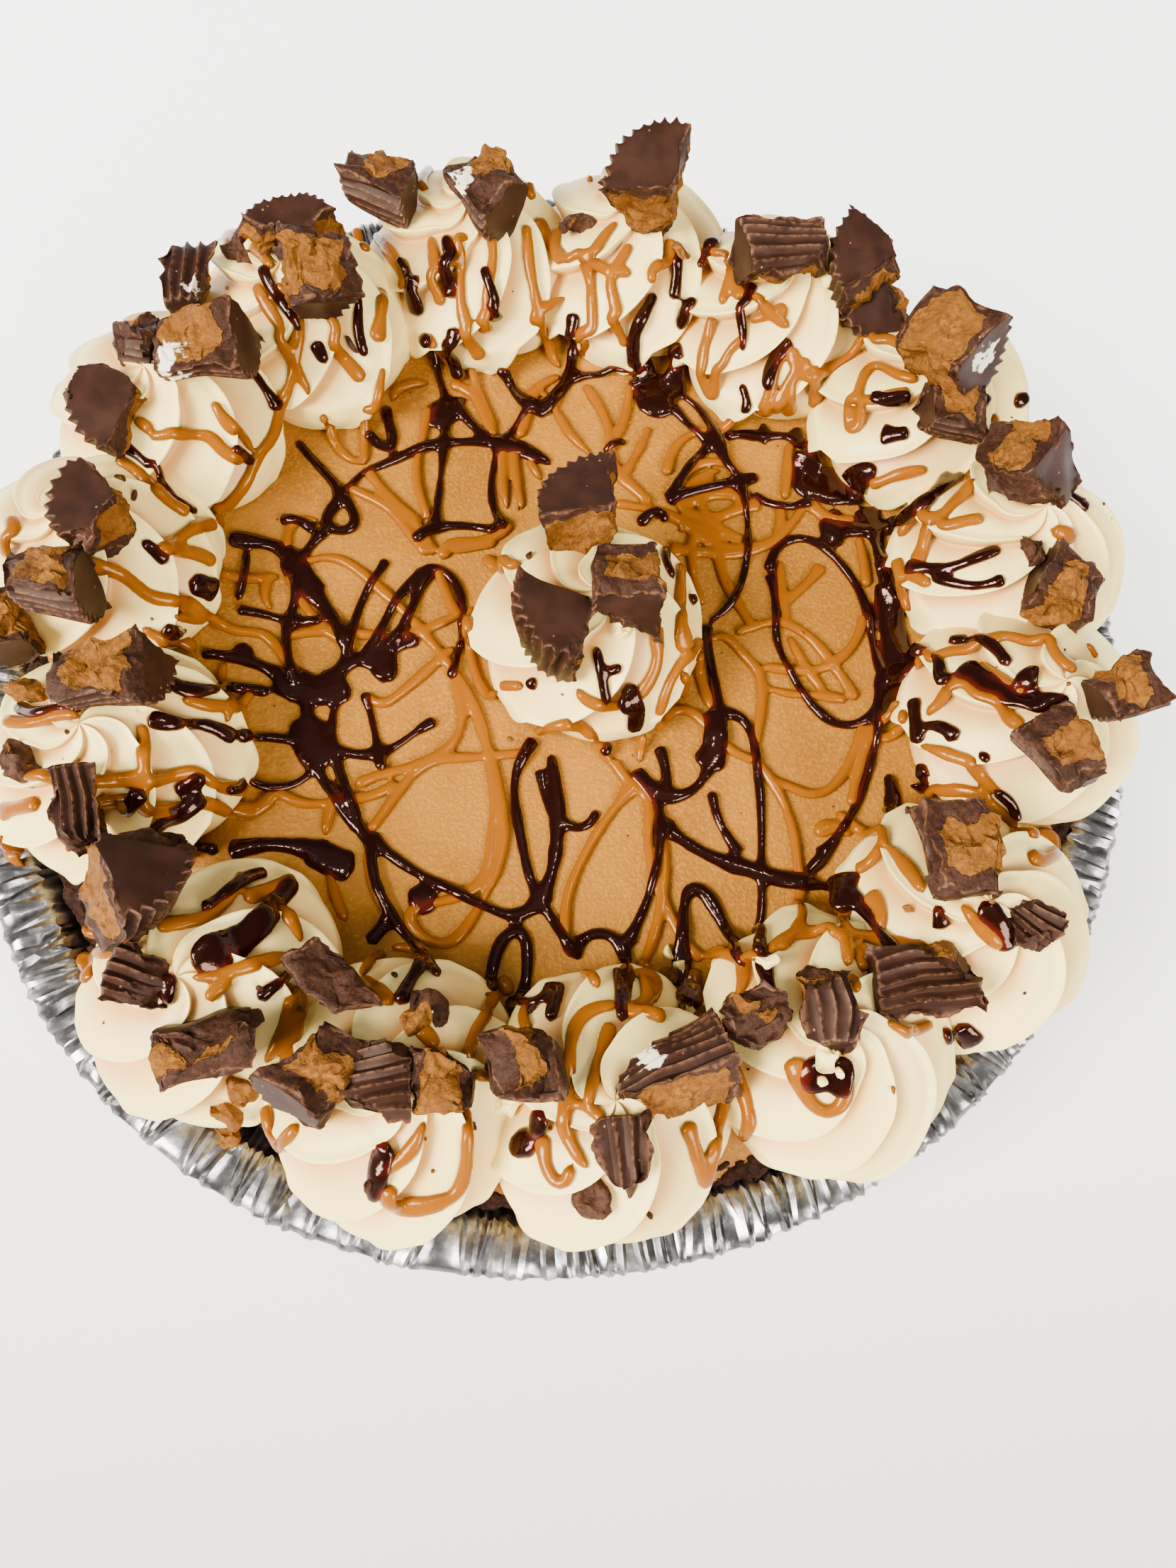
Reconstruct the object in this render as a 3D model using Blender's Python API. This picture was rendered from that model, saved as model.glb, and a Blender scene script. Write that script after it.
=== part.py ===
"""Peanut butter pie in its foil pan.

A chocolate crumb crust lines the pan and holds a peanut butter filling with drizzle on it.
Whipped cream rosettes stand in a ring on its edge, with one in the middle, and pieces of
peanut butter cups are pressed into them. The pan stands on z = 0 with its axis on z.
"""
import math
import random

import bmesh
import bpy
from mathutils import Matrix, Vector

# Lengths are in millimetres here and in metres in the meshes
MM = 0.001
GAP = 0.35

# Foil pan
PAN_RIM_RADIUS = 122.0
PAN_RIM_HEIGHT = 30.0
PAN_BASE_RADIUS = 88.0
PAN_WALL_TOP_RADIUS = 111.5
FOIL_THICKNESS = 0.5
PLEATS = 60
PLEAT_DEPTH = 0.8

# Crust and filling
CRUST_THICKNESS = 5.0
CRUST_COLUMNS = 56
FILLING_RISE = 3.0
FILLING_SHOULDER_RADIUS = 98.0

# Cream rosettes
ROSETTE_HEIGHT = 27.0
ROSETTE_HALF_WIDTH = 25.5
ROSETTE_HALF_LENGTH = 24.0
ROSETTE_FOLDS = 6
ROSETTE_TWIST = math.radians(50)
FOLD_DEPTH = 0.15
COLUMNS_PER_FOLD = 3
# Profile from the tip to the foot, as shares of the half width and of the height
ROSETTE_PROFILE = [(0.12, 0.96), (0.36, 0.90), (0.60, 0.76), (0.82, 0.57),
                   (0.97, 0.36), (0.97, 0.15), (0.83, 0.0)]
# Centre of each ring rosette: angle round the pan in degrees, distance from the axis
RING_ROSETTES = [(12, 95), (36, 95.5), (60, 91), (82, 93), (104, 93), (129, 94), (150.5, 97),
                 (172, 96), (198, 91), (228, 96.5), (251.5, 95), (274, 92), (299.5, 93.5),
                 (322, 95), (350, 92.5)]
MIDDLE_ROSETTE = (4.0, 1.0)
MIDDLE_HALF_WIDTH = 24.5

# Peanut butter cups, broken into pieces
CUP_RADIUS = 13.3
CUP_HEIGHT = 13.8
CUP_BASE_SHARE = 0.78
FLUTE_PITCH = 4.6
FLUTE_DEPTH = 0.9
SINK = 7.0
FOOTING = 5.0
POCKET_GAP = 0.4

# The places of the pieces and of the drizzle are as seen from this eye point, read off
# on a plane a little above the rim, and then slid along the line of sight to their height
EYE = Vector((-10.5, -97.6, PAN_RIM_HEIGHT + 221.0))
READING_HEIGHT = PAN_RIM_HEIGHT + 14.0

# Name, x, y, face up, turn, lean, tip, span of the sector, size, share of the height, lift.
# Faces: the disc, the fluted side, or a cut with the wide end on its left or right.
CUP_PIECES = [
    ("middle_back", 1, 26, "disc", 140, -12, 8, 100, 1.15, 1.0, 0),
    ("middle_front", 11, 8, "cut", 180, 0, 22, 90, 1.05, 1.0, 1),
    ("middle_left", -5.5, -2, "disc", 212, 12, 0, 98, 1.1, 0.9, 0),
    ("north_peak", 17, 114, "disc", 130, 10, -12, 100, 1.15, 1.1, 3),
    ("north_wedge", -21, 107, "cut", 225, 15, 0, 85, 1.1, 1.0, 0),
    ("north_small", -43, 105, "cut", 255, 15, 0, 90, 1.05, 1.0, 0),
    ("northwest_dome", -62.5, 97, "disc", 100, 0, 180, 105, 1.08, 0.8, 0),
    ("northwest_crumbly", -55, 84, "cut_right", 20, 0, 15, 92, 1.12, 0.95, 0),
    ("west_fluted", -82.5, 79, "side", 95, -15, 0, 40, 1.1, 1.0, 0),
    ("west_crumb", -91, 61.5, "cut", 280, 30, 0, 80, 0.85, 0.8, 0),
    ("west_block", -77, 61, "cut", 280, -5, 12, 95, 1.12, 1.1, 2),
    ("west_slab", -98, 46.5, "disc", 195, 0, -8, 110, 1.08, 0.7, 0),
    ("west_smooth", -98, 21.5, "disc", 190, 0, 8, 110, 1.0, 0.8, 0),
    ("west_step", -102, 5, "cut", 275, 35, 0, 90, 1.05, 0.9, 3),
    ("west_outer", -111, -3, "cut", 200, 0, 0, 90, 0.95, 0.9, 0),
    ("west_square", -87.5, -14, "cut", 280, 12, 15, 90, 1.1, 1.0, 1),
    ("southwest_upright", -91, -39, "side", 280, -20, 0, 36, 1.05, 1.1, 0),
    ("southwest_large", -77, -54, "disc", 345, -15, -32, 100, 1.3, 0.9, 0),
    ("southwest_rough", -76, -70, "side", 170, 0, 0, 55, 0.9, 0.85, 0),
    ("southwest_mixed", -62.5, -81.5, "cut", 15, 0, 12, 90, 1.3, 0.5, 0),
    ("south_stick", -41.5, -72, "cut", 310, 0, 0, 60, 1.3, 0.4, 0),
    ("south_triangle", -46, -87, "cut", 150, 0, 22, 90, 1.1, 0.85, 0),
    ("south_fan", -34.5, -88, "side", 8, 0, 0, 80, 0.88, 0.9, 2),
    ("south_crumb", -23, -87, "cut", 90, 0, 0, 80, 0.85, 0.8, 0),
    ("south_oval", -8, -87, "cut", 285, 20, 0, 90, 1.0, 0.85, 0),
    ("south_large", 18, -86, "side", 17, 0, -60, 60, 1.25, 1.2, 0),
    ("south_column", 9, -101, "side", 100, 0, 0, 36, 0.95, 1.0, 0),
    ("south_hollow", 34, -78, "cut", 310, 0, 0, 70, 1.0, 0.6, 0),
    ("south_upright", 47, -75, "side", 95, -12, 0, 46, 0.98, 1.1, 0),
    ("southeast_fan", 65, -70, "side", 8, 0, 0, 60, 1.15, 1.1, 0),
    ("east_frame", 73, -46, "cut_right", 183, 0, 0, 92, 1.1, 1.1, 0),
    ("southeast_rough", 87, -59, "side", 320, 0, 0, 65, 0.85, 0.9, 0),
    ("east_block", 96, -26, "cut_right", 205, 0, 0, 92, 1.0, 1.05, 0),
    ("east_square", 111, -13, "cut", 300, 0, 0, 90, 0.95, 0.95, 0),
    ("east_shard", 103, 11, "cut", 60, 0, 0, 80, 1.15, 0.75, 0),
    ("northeast_wedge", 97, 38, "cut", 230, 0, 40, 90, 1.25, 0.9, 0),
    ("northeast_small", 83, 51, "cut", 270, 15, 0, 88, 1.0, 0.85, 0),
    ("northeast_long", 86, 71, "cut_right", 45, 25, -22, 95, 1.15, 1.1, 2),
    ("north_fluted", 49, 95, "side", 190, 0, 0, 60, 1.15, 1.15, 2),
    ("north_plate", 64, 91, "disc", 170, 0, -5, 100, 1.2, 0.75, 0),
    ("north_low", 69, 77, "disc", 270, -30, 0, 90, 1.0, 0.9, -2),
]

# Thick drizzle on the open filling: width, points as seen on the reading plane
DRIZZLE = [
    (3.2, [(-57, 41), (-52, 35), (-47, 28), (-50, 22), (-46, 19.5), (-44, 23)]),
    (2.6, [(-44, 33), (-40, 35), (-30, 40), (-20, 42), (-13, 41.5), (-5, 37)]),
    (2.8, [(-30, 66), (-28, 57), (-26, 50), (-20, 45), (-15, 42)]),
    (2.8, [(-15, 61), (-11, 53), (-6, 50), (-2, 56), (4, 59), (14, 60)]),
    (4.0, [(15, 62), (17, 52), (20, 52), (24, 64)]),
    (2.4, [(24, 56), (29, 50), (33, 40), (36, 35), (36.5, 25), (35, 14), (30, 5)]),
    (2.4, [(20, 29), (27, 32), (35, 34), (40, 35.5)]),
    (2.6, [(56, 15), (51, 20), (46, 21), (42, 17), (41.5, 8), (42, -2), (46, -13), (53, -20),
           (60, -17)]),
    (3.2, [(-66, 17), (-60, 16.5), (-55, 13), (-51, 6), (-46, -2)]),
    (3.0, [(-66, -8), (-60, -11), (-51, -15), (-42, -9), (-31, -4)]),
    (2.4, [(-38, -2), (-35, 6), (-28, 12.5), (-23, 8), (-22, -3), (-23.5, -12)]),
    (2.6, [(-60, -24), (-51, -25.5), (-45, -27), (-36, -27), (-26, -20.5)]),
    (2.8, [(-52, -16), (-49, -28), (-41, -41), (-30, -50), (-16, -57), (-6, -56)]),
    (2.6, [(-9, -27), (-11, -33), (-9.5, -44), (-6, -56), (0, -64)]),
    (2.6, [(-4, -27), (-2.5, -38), (-4, -51)]),
    (3.0, [(27, -8), (29, -17), (27, -25), (25, -33), (18, -35.5), (12, -30)]),
    (2.4, [(16, -36), (17, -45), (14, -55), (10, -63)]),
    (3.0, [(17, -41), (26, -47), (38, -51), (46, -48), (55, -37), (60, -28)]),
    (2.4, [(33, -20), (36, -28), (36.5, -40), (36, -55), (34.5, -64)]),
    (2.4, [(-40, -34), (-30, -30), (-15, -27), (-13.5, -38), (-14, -50), (-21, -63)]),
    (2.4, [(12, -33), (6, -41), (2, -48), (-1, -58)]),
    (2.4, [(36, -28), (42, -33), (48, -35), (54, -29), (57, -20)]),
    (2.4, [(31, -1), (38, 1), (43, 2), (50, -4), (57, -15)]),
    (2.4, [(-55, 12), (-48, 14), (-38, 7), (-32, 1), (-25, -5)]),
    (2.4, [(3, 57), (7, 50), (9, 42), (9, 34)]),
]
DRIZZLE_STEP = 9.0


def clear_scene():
    for item in list(bpy.data.objects):
        bpy.data.objects.remove(item, do_unlink=True)


def material(name, colour, roughness, metallic=0.0):
    made = bpy.data.materials.new(name)
    made.use_nodes = True
    shader = made.node_tree.nodes["Principled BSDF"]
    shader.inputs["Base Color"].default_value = (*colour, 1.0)
    shader.inputs["Roughness"].default_value = roughness
    shader.inputs["Metallic"].default_value = metallic
    return made


def add_object(name, shape, surface=None):
    """Turn a bmesh in millimetres into an object in metres."""
    bmesh.ops.recalc_face_normals(shape, faces=shape.faces)
    bmesh.ops.scale(shape, vec=(MM, MM, MM), verts=shape.verts)
    mesh = bpy.data.meshes.new(name)
    shape.to_mesh(mesh)
    shape.free()
    made = bpy.data.objects.new(name, mesh)
    bpy.context.collection.objects.link(made)
    if surface:
        mesh.materials.append(surface)
    return made


def lathe(rows, columns, place):
    """Closed solid whose rows of (radius, height) run round the axis, both ends capped."""
    shape = bmesh.new()
    rings = []
    for index, (radius, height) in enumerate(rows):
        ring = [shape.verts.new(place(index, column, radius, height)) for column in range(columns)]
        rings.append(ring)
    for lower, upper in zip(rings, rings[1:]):
        for column in range(columns):
            after = (column + 1) % columns
            shape.faces.new((lower[column], lower[after], upper[after], upper[column]))
    shape.faces.new(rings[0])
    shape.faces.new(rings[-1])
    return shape


def on_circle(radius, angle, height):
    return (radius * math.cos(angle), radius * math.sin(angle), height)


def wall_radius(height):
    """Radius of the pan's inner wall at a height, at the middle of its pleats."""
    share = (height - FOIL_THICKNESS) / (PAN_RIM_HEIGHT - 1.5 - FOIL_THICKNESS)
    return PAN_BASE_RADIUS + share * (PAN_WALL_TOP_RADIUS - PAN_BASE_RADIUS)


def foil_pan(surface):
    """Pan with a flat base, a pleated flaring wall and a pleated flange with a rolled edge."""
    rim = PAN_RIM_HEIGHT
    inside = [(PAN_BASE_RADIUS, FOIL_THICKNESS), (PAN_WALL_TOP_RADIUS, rim - 1.5),
              (PAN_WALL_TOP_RADIUS + 1.8, rim - 0.7), (PAN_RIM_RADIUS - 2.5, rim),
              (PAN_RIM_RADIUS, rim - 1.2)]
    outside = [(PAN_RIM_RADIUS - 0.5, rim - 2.0), (PAN_RIM_RADIUS - 2.8, rim - 0.7),
               (PAN_WALL_TOP_RADIUS + 2.2, rim - 1.4), (PAN_WALL_TOP_RADIUS + 0.6, rim - 2.0),
               (PAN_BASE_RADIUS + 0.5, 0.0)]
    rows = inside + outside
    columns = 2 * PLEATS

    def place(index, column, radius, height):
        side = 1 if column % 2 else -1
        pleat = side * PLEAT_DEPTH if 0 < index < len(rows) - 1 else 0.0
        angle = math.tau * column / columns
        on_flange = radius > PAN_WALL_TOP_RADIUS + 1.0
        if on_flange:
            return on_circle(radius + 0.3 * pleat, angle, height + 0.6 * pleat)
        return on_circle(radius + pleat, angle, height)

    return add_object("foil_pan", lathe(rows, columns, place), surface)


def crust(surface):
    """Crumb crust that lines the pan, with an uneven top edge."""
    rng = random.Random(4)
    clear = PLEAT_DEPTH + GAP + 0.15
    bottom = FOIL_THICKNESS + GAP
    top = PAN_RIM_HEIGHT - 1.0
    rows = [(wall_radius(bottom) - clear, bottom), (wall_radius(top - 1.0) - clear, top - 1.0),
            (wall_radius(top) - clear - 1.6, top + 1.0),
            (wall_radius(top) - clear - CRUST_THICKNESS, top - 0.6),
            (wall_radius(bottom) - clear - CRUST_THICKNESS, bottom + CRUST_THICKNESS)]
    bumps = [(rng.uniform(-1.0, 0.6), rng.uniform(-1.1, 1.1)) for _ in range(CRUST_COLUMNS)]

    def place(index, column, radius, height):
        inward, upward = bumps[column] if index == 2 else (0.0, 0.0)
        angle = math.tau * column / CRUST_COLUMNS
        return on_circle(radius + inward, angle, height + upward)

    return add_object("crust", lathe(rows, CRUST_COLUMNS, place), surface)


def filling_top():
    return PAN_RIM_HEIGHT + FILLING_RISE


def filling_body(surface):
    """Filling that fills the crust and stands a little above the rim."""
    clear = PLEAT_DEPTH + GAP + 0.15
    bottom = FOIL_THICKNESS + GAP + CRUST_THICKNESS + GAP
    edge = PAN_RIM_HEIGHT - 1.8
    inner = CRUST_THICKNESS + clear + GAP
    rows = [(wall_radius(bottom - CRUST_THICKNESS) - inner, bottom),
            (wall_radius(edge) - inner, edge),
            (wall_radius(edge) - inner - 1.5, edge + 2.6),
            (FILLING_SHOULDER_RADIUS, filling_top())]

    def place(index, column, radius, height):
        return on_circle(radius, math.tau * column / CRUST_COLUMNS, height)

    return add_object("filling", lathe(rows, CRUST_COLUMNS, place), surface)


def rosette_centres():
    centres = []
    for angle, distance in RING_ROSETTES:
        turn = math.radians(angle)
        centres.append((distance * math.cos(turn), distance * math.sin(turn), turn))
    centres.append((*MIDDLE_ROSETTE, 0.0))
    return centres


def half_sizes(index):
    """Half widths of a rosette along the pan's radius and across it."""
    if index == len(RING_ROSETTES):
        return MIDDLE_HALF_WIDTH, MIDDLE_HALF_WIDTH
    return ROSETTE_HALF_WIDTH, ROSETTE_HALF_LENGTH


def fold_turn(along, out):
    """Turn of the folds: they leave the tip straight and curl round to meet the outline."""
    return ROSETTE_TWIST * along + math.asin(0.98 * out if along < 0.75 else 0.98)


def fold_rise(phase):
    """Height share of a fold: it swells and then drops sharply, as overlapping petals do."""
    return math.sin(0.5 * math.pi * phase / 0.8) if phase < 0.8 else (1.0 - phase) / 0.2


def rosette_shape(index, centre):
    """Swirl whose folds wind from the tip to the foot, stretched along the pan's radius."""
    x, y, turn = centre
    half_width, half_length = half_sizes(index)
    base = filling_top() + GAP
    columns = ROSETTE_FOLDS * COLUMNS_PER_FOLD
    start = 1.7 * index
    shape = bmesh.new()
    tip = shape.verts.new((x, y, base + ROSETTE_HEIGHT))
    rings = []
    for row, (out, up) in enumerate(ROSETTE_PROFILE):
        along = (row + 1) / len(ROSETTE_PROFILE)
        ring = []
        for column in range(columns):
            phase = (column % COLUMNS_PER_FOLD) / COLUMNS_PER_FOLD
            fold = FOLD_DEPTH * (fold_rise(phase) - 1.0) * min(1.0, 1.6 * along)
            angle = start + math.tau * column / columns - fold_turn(along, out)
            radial = half_width * out * (1.0 + fold) * math.cos(angle)
            side = half_length * out * (1.0 + fold) * math.sin(angle)
            place = (x + radial * math.cos(turn) - side * math.sin(turn),
                     y + radial * math.sin(turn) + side * math.cos(turn),
                     base + ROSETTE_HEIGHT * up * (1.0 + 0.5 * fold))
            ring.append(shape.verts.new(place))
        rings.append(ring)
    for column in range(columns):
        after = (column + 1) % columns
        shape.faces.new((tip, rings[0][after], rings[0][column]))
        for upper, lower in zip(rings, rings[1:]):
            shape.faces.new((upper[column], upper[after], lower[after], lower[column]))
    shape.faces.new(rings[-1])
    return shape


def cut_by_plane(shape, point, normal):
    """Keep the side of the solid that the normal points away from, and close it."""
    geometry = shape.verts[:] + shape.edges[:] + shape.faces[:]
    bmesh.ops.bisect_plane(shape, geom=geometry, dist=1e-5, plane_co=point, plane_no=normal,
                           clear_outer=True)
    rim = [edge for edge in shape.edges if edge.is_boundary]
    bmesh.ops.contextual_create(shape, geom=rim)


def keep_largest(mesh):
    """Drop loose scraps: only the connected body with the most faces stays."""
    shape = bmesh.new()
    shape.from_mesh(mesh)
    waiting = set(shape.faces)
    bodies = []
    while waiting:
        body = {waiting.pop()}
        edge_of_body = list(body)
        while edge_of_body:
            face = edge_of_body.pop()
            for edge in face.edges:
                for near in edge.link_faces:
                    if near in waiting:
                        waiting.discard(near)
                        body.add(near)
                        edge_of_body.append(near)
        bodies.append(body)
    largest = max(bodies, key=lambda body: sum(face.calc_area() for face in body))
    scraps = [face for face in shape.faces if face not in largest]
    bmesh.ops.delete(shape, geom=scraps, context="FACES")
    shape.to_mesh(mesh)
    shape.free()


def combine(item, tools, operation):
    """Boolean of one object with a collection of others, applied, and the others removed."""
    group = bpy.data.collections.new("tools")
    for tool in tools:
        bpy.context.collection.objects.unlink(tool)
        group.objects.link(tool)
    bpy.context.scene.collection.children.link(group)
    modifier = item.modifiers.new("combine", "BOOLEAN")
    modifier.operand_type = "COLLECTION"
    modifier.collection = group
    modifier.operation = operation
    modifier.solver = "EXACT"
    graph = bpy.context.evaluated_depsgraph_get()
    made = bpy.data.meshes.new_from_object(item.evaluated_get(graph))
    item.modifiers.clear()
    item.data = made
    keep_largest(made)
    for tool in tools:
        bpy.data.objects.remove(tool, do_unlink=True)
    bpy.data.collections.remove(group)


def seen_at(x, y, height):
    """Slide a point read on the reading plane along the line of sight to a height."""
    share = (EYE.z - height) / (EYE.z - READING_HEIGHT)
    return (EYE.x + (x - EYE.x) * share, EYE.y + (y - EYE.y) * share)


def cream_height(x, y, centres):
    """Height of the cream, or of the filling where there is none."""
    height = filling_top() + SINK + GAP
    outline = [(0.0, 1.0)] + [pair for pair in ROSETTE_PROFILE if pair[1] > 0.3]
    for index, (cx, cy, turn) in enumerate(centres):
        radial = (x - cx) * math.cos(turn) + (y - cy) * math.sin(turn)
        side = (y - cy) * math.cos(turn) - (x - cx) * math.sin(turn)
        half_width, half_length = half_sizes(index)
        out = math.hypot(radial / half_width, side / half_length)
        for (near, high), (far, low) in zip(outline, outline[1:]):
            if near <= out < far:
                share = high + (low - high) * (out - near) / (far - near)
                height = max(height, filling_top() + GAP + ROSETTE_HEIGHT * share)
    return height


def piece_rotation(face, turn, lean, tip):
    """Rotation that turns a cup sector so that the named face is up and faces its turn."""
    heading = Vector((math.cos(math.radians(turn)), math.sin(math.radians(turn)), 0.0))
    up = Vector((0.0, 0.0, 1.0))
    left = up.cross(heading)
    tilt = Matrix.Rotation(math.radians(lean), 3, heading.cross(up))
    roll = Matrix.Rotation(math.radians(tip), 3, heading)
    if face == "disc":
        columns = (heading, left, up)
    elif face == "side":
        columns = (up, heading.cross(up), heading)
    elif face == "cut":
        columns = (heading, -up, left)
    else:
        columns = (heading, up, -left)
    return tilt @ roll @ Matrix(columns).transposed()


def sector_shape(face, span, size, tall):
    """Sector of a fluted cup, with its middle at the origin and its axis along z."""
    half = 0.5 * math.radians(span)
    radius = CUP_RADIUS * size
    flutes = max(3, round(2.0 * half * radius / FLUTE_PITCH))
    middle = 0.62 * radius
    # The cut that faces up lies along x, so a sector with a cut up is turned by half its span
    swing = {"cut": half, "cut_right": -half}.get(face, 0.0)
    shape = bmesh.new()
    rings = []
    for height, share in ((0.5, 1.0), (-0.5, CUP_BASE_SHARE)):
        ring = [(0.0, 0.0)]
        for point in range(2 * flutes + 1):
            angle = -half + 2.0 * half * point / (2 * flutes)
            reach = (radius - (FLUTE_DEPTH if point % 2 else 0.0)) * share
            ring.append((reach * math.cos(angle), reach * math.sin(angle)))
        level = height * CUP_HEIGHT * size * tall
        turned = [Matrix.Rotation(swing, 3, "Z") @ Vector((px - middle, py, level))
                  for px, py in ring]
        rings.append([shape.verts.new(place) for place in turned])
    top, bottom = rings
    shape.faces.new(top)
    shape.faces.new(bottom)
    for point in range(len(top)):
        after = (point + 1) % len(top)
        shape.faces.new((top[point], top[after], bottom[after], bottom[point]))
    return shape


def support_height(x, y, centres):
    """Height of the cream under a piece: the highest of its middle and four points round it."""
    around = [(0.0, 0.0), (FOOTING, 0.0), (-FOOTING, 0.0), (0.0, FOOTING), (0.0, -FOOTING)]
    return max(cream_height(x + dx, y + dy, centres) for dx, dy in around)


def cup_piece(spec, centres):
    """One piece of a cup, turned, and let down along the line of sight into the cream."""
    _, x, y, face, turn, lean, tip, span, size, tall, lift = spec
    shape = sector_shape(face, span, size, tall)
    bmesh.ops.rotate(shape, matrix=piece_rotation(face, turn, lean, tip), verts=shape.verts)
    lowest = min(vert.co.z for vert in shape.verts)
    height = filling_top() + ROSETTE_HEIGHT - lowest
    while height > support_height(*seen_at(x, y, height), centres) - lowest - SINK + lift:
        height -= 0.25
    bmesh.ops.translate(shape, vec=(*seen_at(x, y, height), height), verts=shape.verts)
    return shape


def enlarged_hull(source):
    """Cutter a little larger than a piece, so that what it cuts keeps clear of the piece."""
    shape = bmesh.new()
    for vert in source.data.vertices:
        shape.verts.new(vert.co)
    bmesh.ops.convex_hull(shape, input=shape.verts)
    inside = [vert for vert in shape.verts if not vert.link_faces]
    bmesh.ops.delete(shape, geom=inside, context="VERTS")
    bmesh.ops.recalc_face_normals(shape, faces=shape.faces)
    shape.normal_update()
    moved = [vert.co + vert.normal * vert.calc_shell_factor() * POCKET_GAP * MM
             for vert in shape.verts]
    for vert, place in zip(shape.verts, moved):
        vert.co = place
    bmesh.ops.scale(shape, vec=(1 / MM, 1 / MM, 1 / MM), verts=shape.verts)
    return add_object("pocket", shape)


def near_each_other(first, second):
    """Whether the boxes of two objects come within the gap of each other."""
    for axis in range(3):
        a = [vert.co[axis] for vert in first.data.vertices]
        b = [vert.co[axis] for vert in second.data.vertices]
        if min(a) > max(b) + 2 * GAP * MM or min(b) > max(a) + 2 * GAP * MM:
            return False
    return True


def smooth_route(points, step):
    """Points about one step apart along a smooth curve through the given points."""
    ends = [points[0]] + list(points) + [points[-1]]
    route = []
    for before, start, finish, after in zip(ends, ends[1:], ends[2:], ends[3:]):
        length = math.dist(start, finish)
        count = max(1, round(length / step))
        for index in range(count):
            t = index / count
            route.append(tuple(
                0.5 * (2 * b + (c - a) * t + (2 * a - 5 * b + 4 * c - d) * t * t
                       + (3 * b - a - 3 * c + d) * t ** 3)
                for a, b, c, d in zip(before, start, finish, after)))
    route.append(tuple(points[-1]))
    return route


def open_filling(x, y, centres):
    """Whether a place on the filling is clear of the rosettes."""
    for cx, cy, _ in centres:
        if math.hypot(x - cx, y - cy) < ROSETTE_HALF_WIDTH + 0.5:
            return False
    return math.hypot(x, y) < FILLING_SHOULDER_RADIUS - 4.0


def drizzle_strand(width, points, centres):
    """Low ridge that lies on the filling and is sunk a little into it."""
    top = filling_top()
    route = [seen_at(x, y, top) for x, y in smooth_route(points, DRIZZLE_STEP)]
    route = [place for place in route if open_filling(*place, centres)]
    if len(route) < 2:
        return None
    section = [(-0.5, -0.25), (-0.34, 0.5), (0.34, 0.5), (0.5, -0.25)]
    shape = bmesh.new()
    rings = []
    for index, (x, y) in enumerate(route):
        before = route[max(0, index - 1)]
        after = route[min(len(route) - 1, index + 1)]
        along = Vector((after[0] - before[0], after[1] - before[1], 0.0)).normalized()
        across = Vector((-along.y, along.x, 0.0))
        ring = []
        for side, up in section:
            place = Vector((x, y, top + up * width)) + across * side * width
            ring.append(shape.verts.new(place))
        rings.append(ring)
    for start, finish in zip(rings, rings[1:]):
        for corner in range(4):
            after = (corner + 1) % 4
            shape.faces.new((start[corner], start[after], finish[after], finish[corner]))
    shape.faces.new(rings[0])
    shape.faces.new(rings[-1])
    return add_object("strand", shape)


def build():
    clear_scene()
    foil = material("foil", (0.78, 0.79, 0.80), 0.28, 1.0)
    crumb = material("cookie_crumb", (0.035, 0.017, 0.010), 0.9)
    butter = material("peanut_butter_filling", (0.66, 0.36, 0.14), 0.55)
    cream = material("whipped_cream", (0.93, 0.88, 0.76), 0.45)
    chocolate = material("milk_chocolate", (0.10, 0.04, 0.02), 0.42)
    centres = rosette_centres()

    foil_pan(foil)
    crust(crumb)
    filling = filling_body(butter)
    strands = [drizzle_strand(width, points, centres) for width, points in DRIZZLE]
    combine(filling, [strand for strand in strands if strand], "UNION")

    pieces = []
    for spec in CUP_PIECES:
        piece = add_object("piece_" + spec[0], cup_piece(spec, centres), chocolate)
        above = [other for other in pieces if near_each_other(piece, other)]
        if above:
            combine(piece, [enlarged_hull(other) for other in above], "DIFFERENCE")
        pieces.append(piece)

    ring_count = len(RING_ROSETTES)
    for index, centre in enumerate(centres):
        shape = rosette_shape(index, centre)
        if index < ring_count:
            here = Vector((centre[0], centre[1], 0.0))
            for step in (1, -1):
                neighbour = centres[(index + step) % ring_count]
                there = Vector((neighbour[0], neighbour[1], 0.0))
                away = (there - here).normalized()
                cut_by_plane(shape, 0.5 * (here + there) - 0.5 * GAP * away, away)
        name = "rosette_%02d" % (index + 1) if index < ring_count else "rosette_middle"
        rosette = add_object(name, shape, cream)
        touching = [piece for piece in pieces if near_each_other(rosette, piece)]
        if touching:
            combine(rosette, [enlarged_hull(piece) for piece in touching], "DIFFERENCE")


build()
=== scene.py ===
"""Looks of the peanut butter pie: foil, crust, filling, cream, cup pieces and drizzle.

Shapes are worked out in millimetres and become metres when they are made into meshes.
"""
import math
import random

import bmesh
import bpy
import numpy as np
from mathutils import Matrix, Vector, noise
from mathutils.bvhtree import BVHTree


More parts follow.
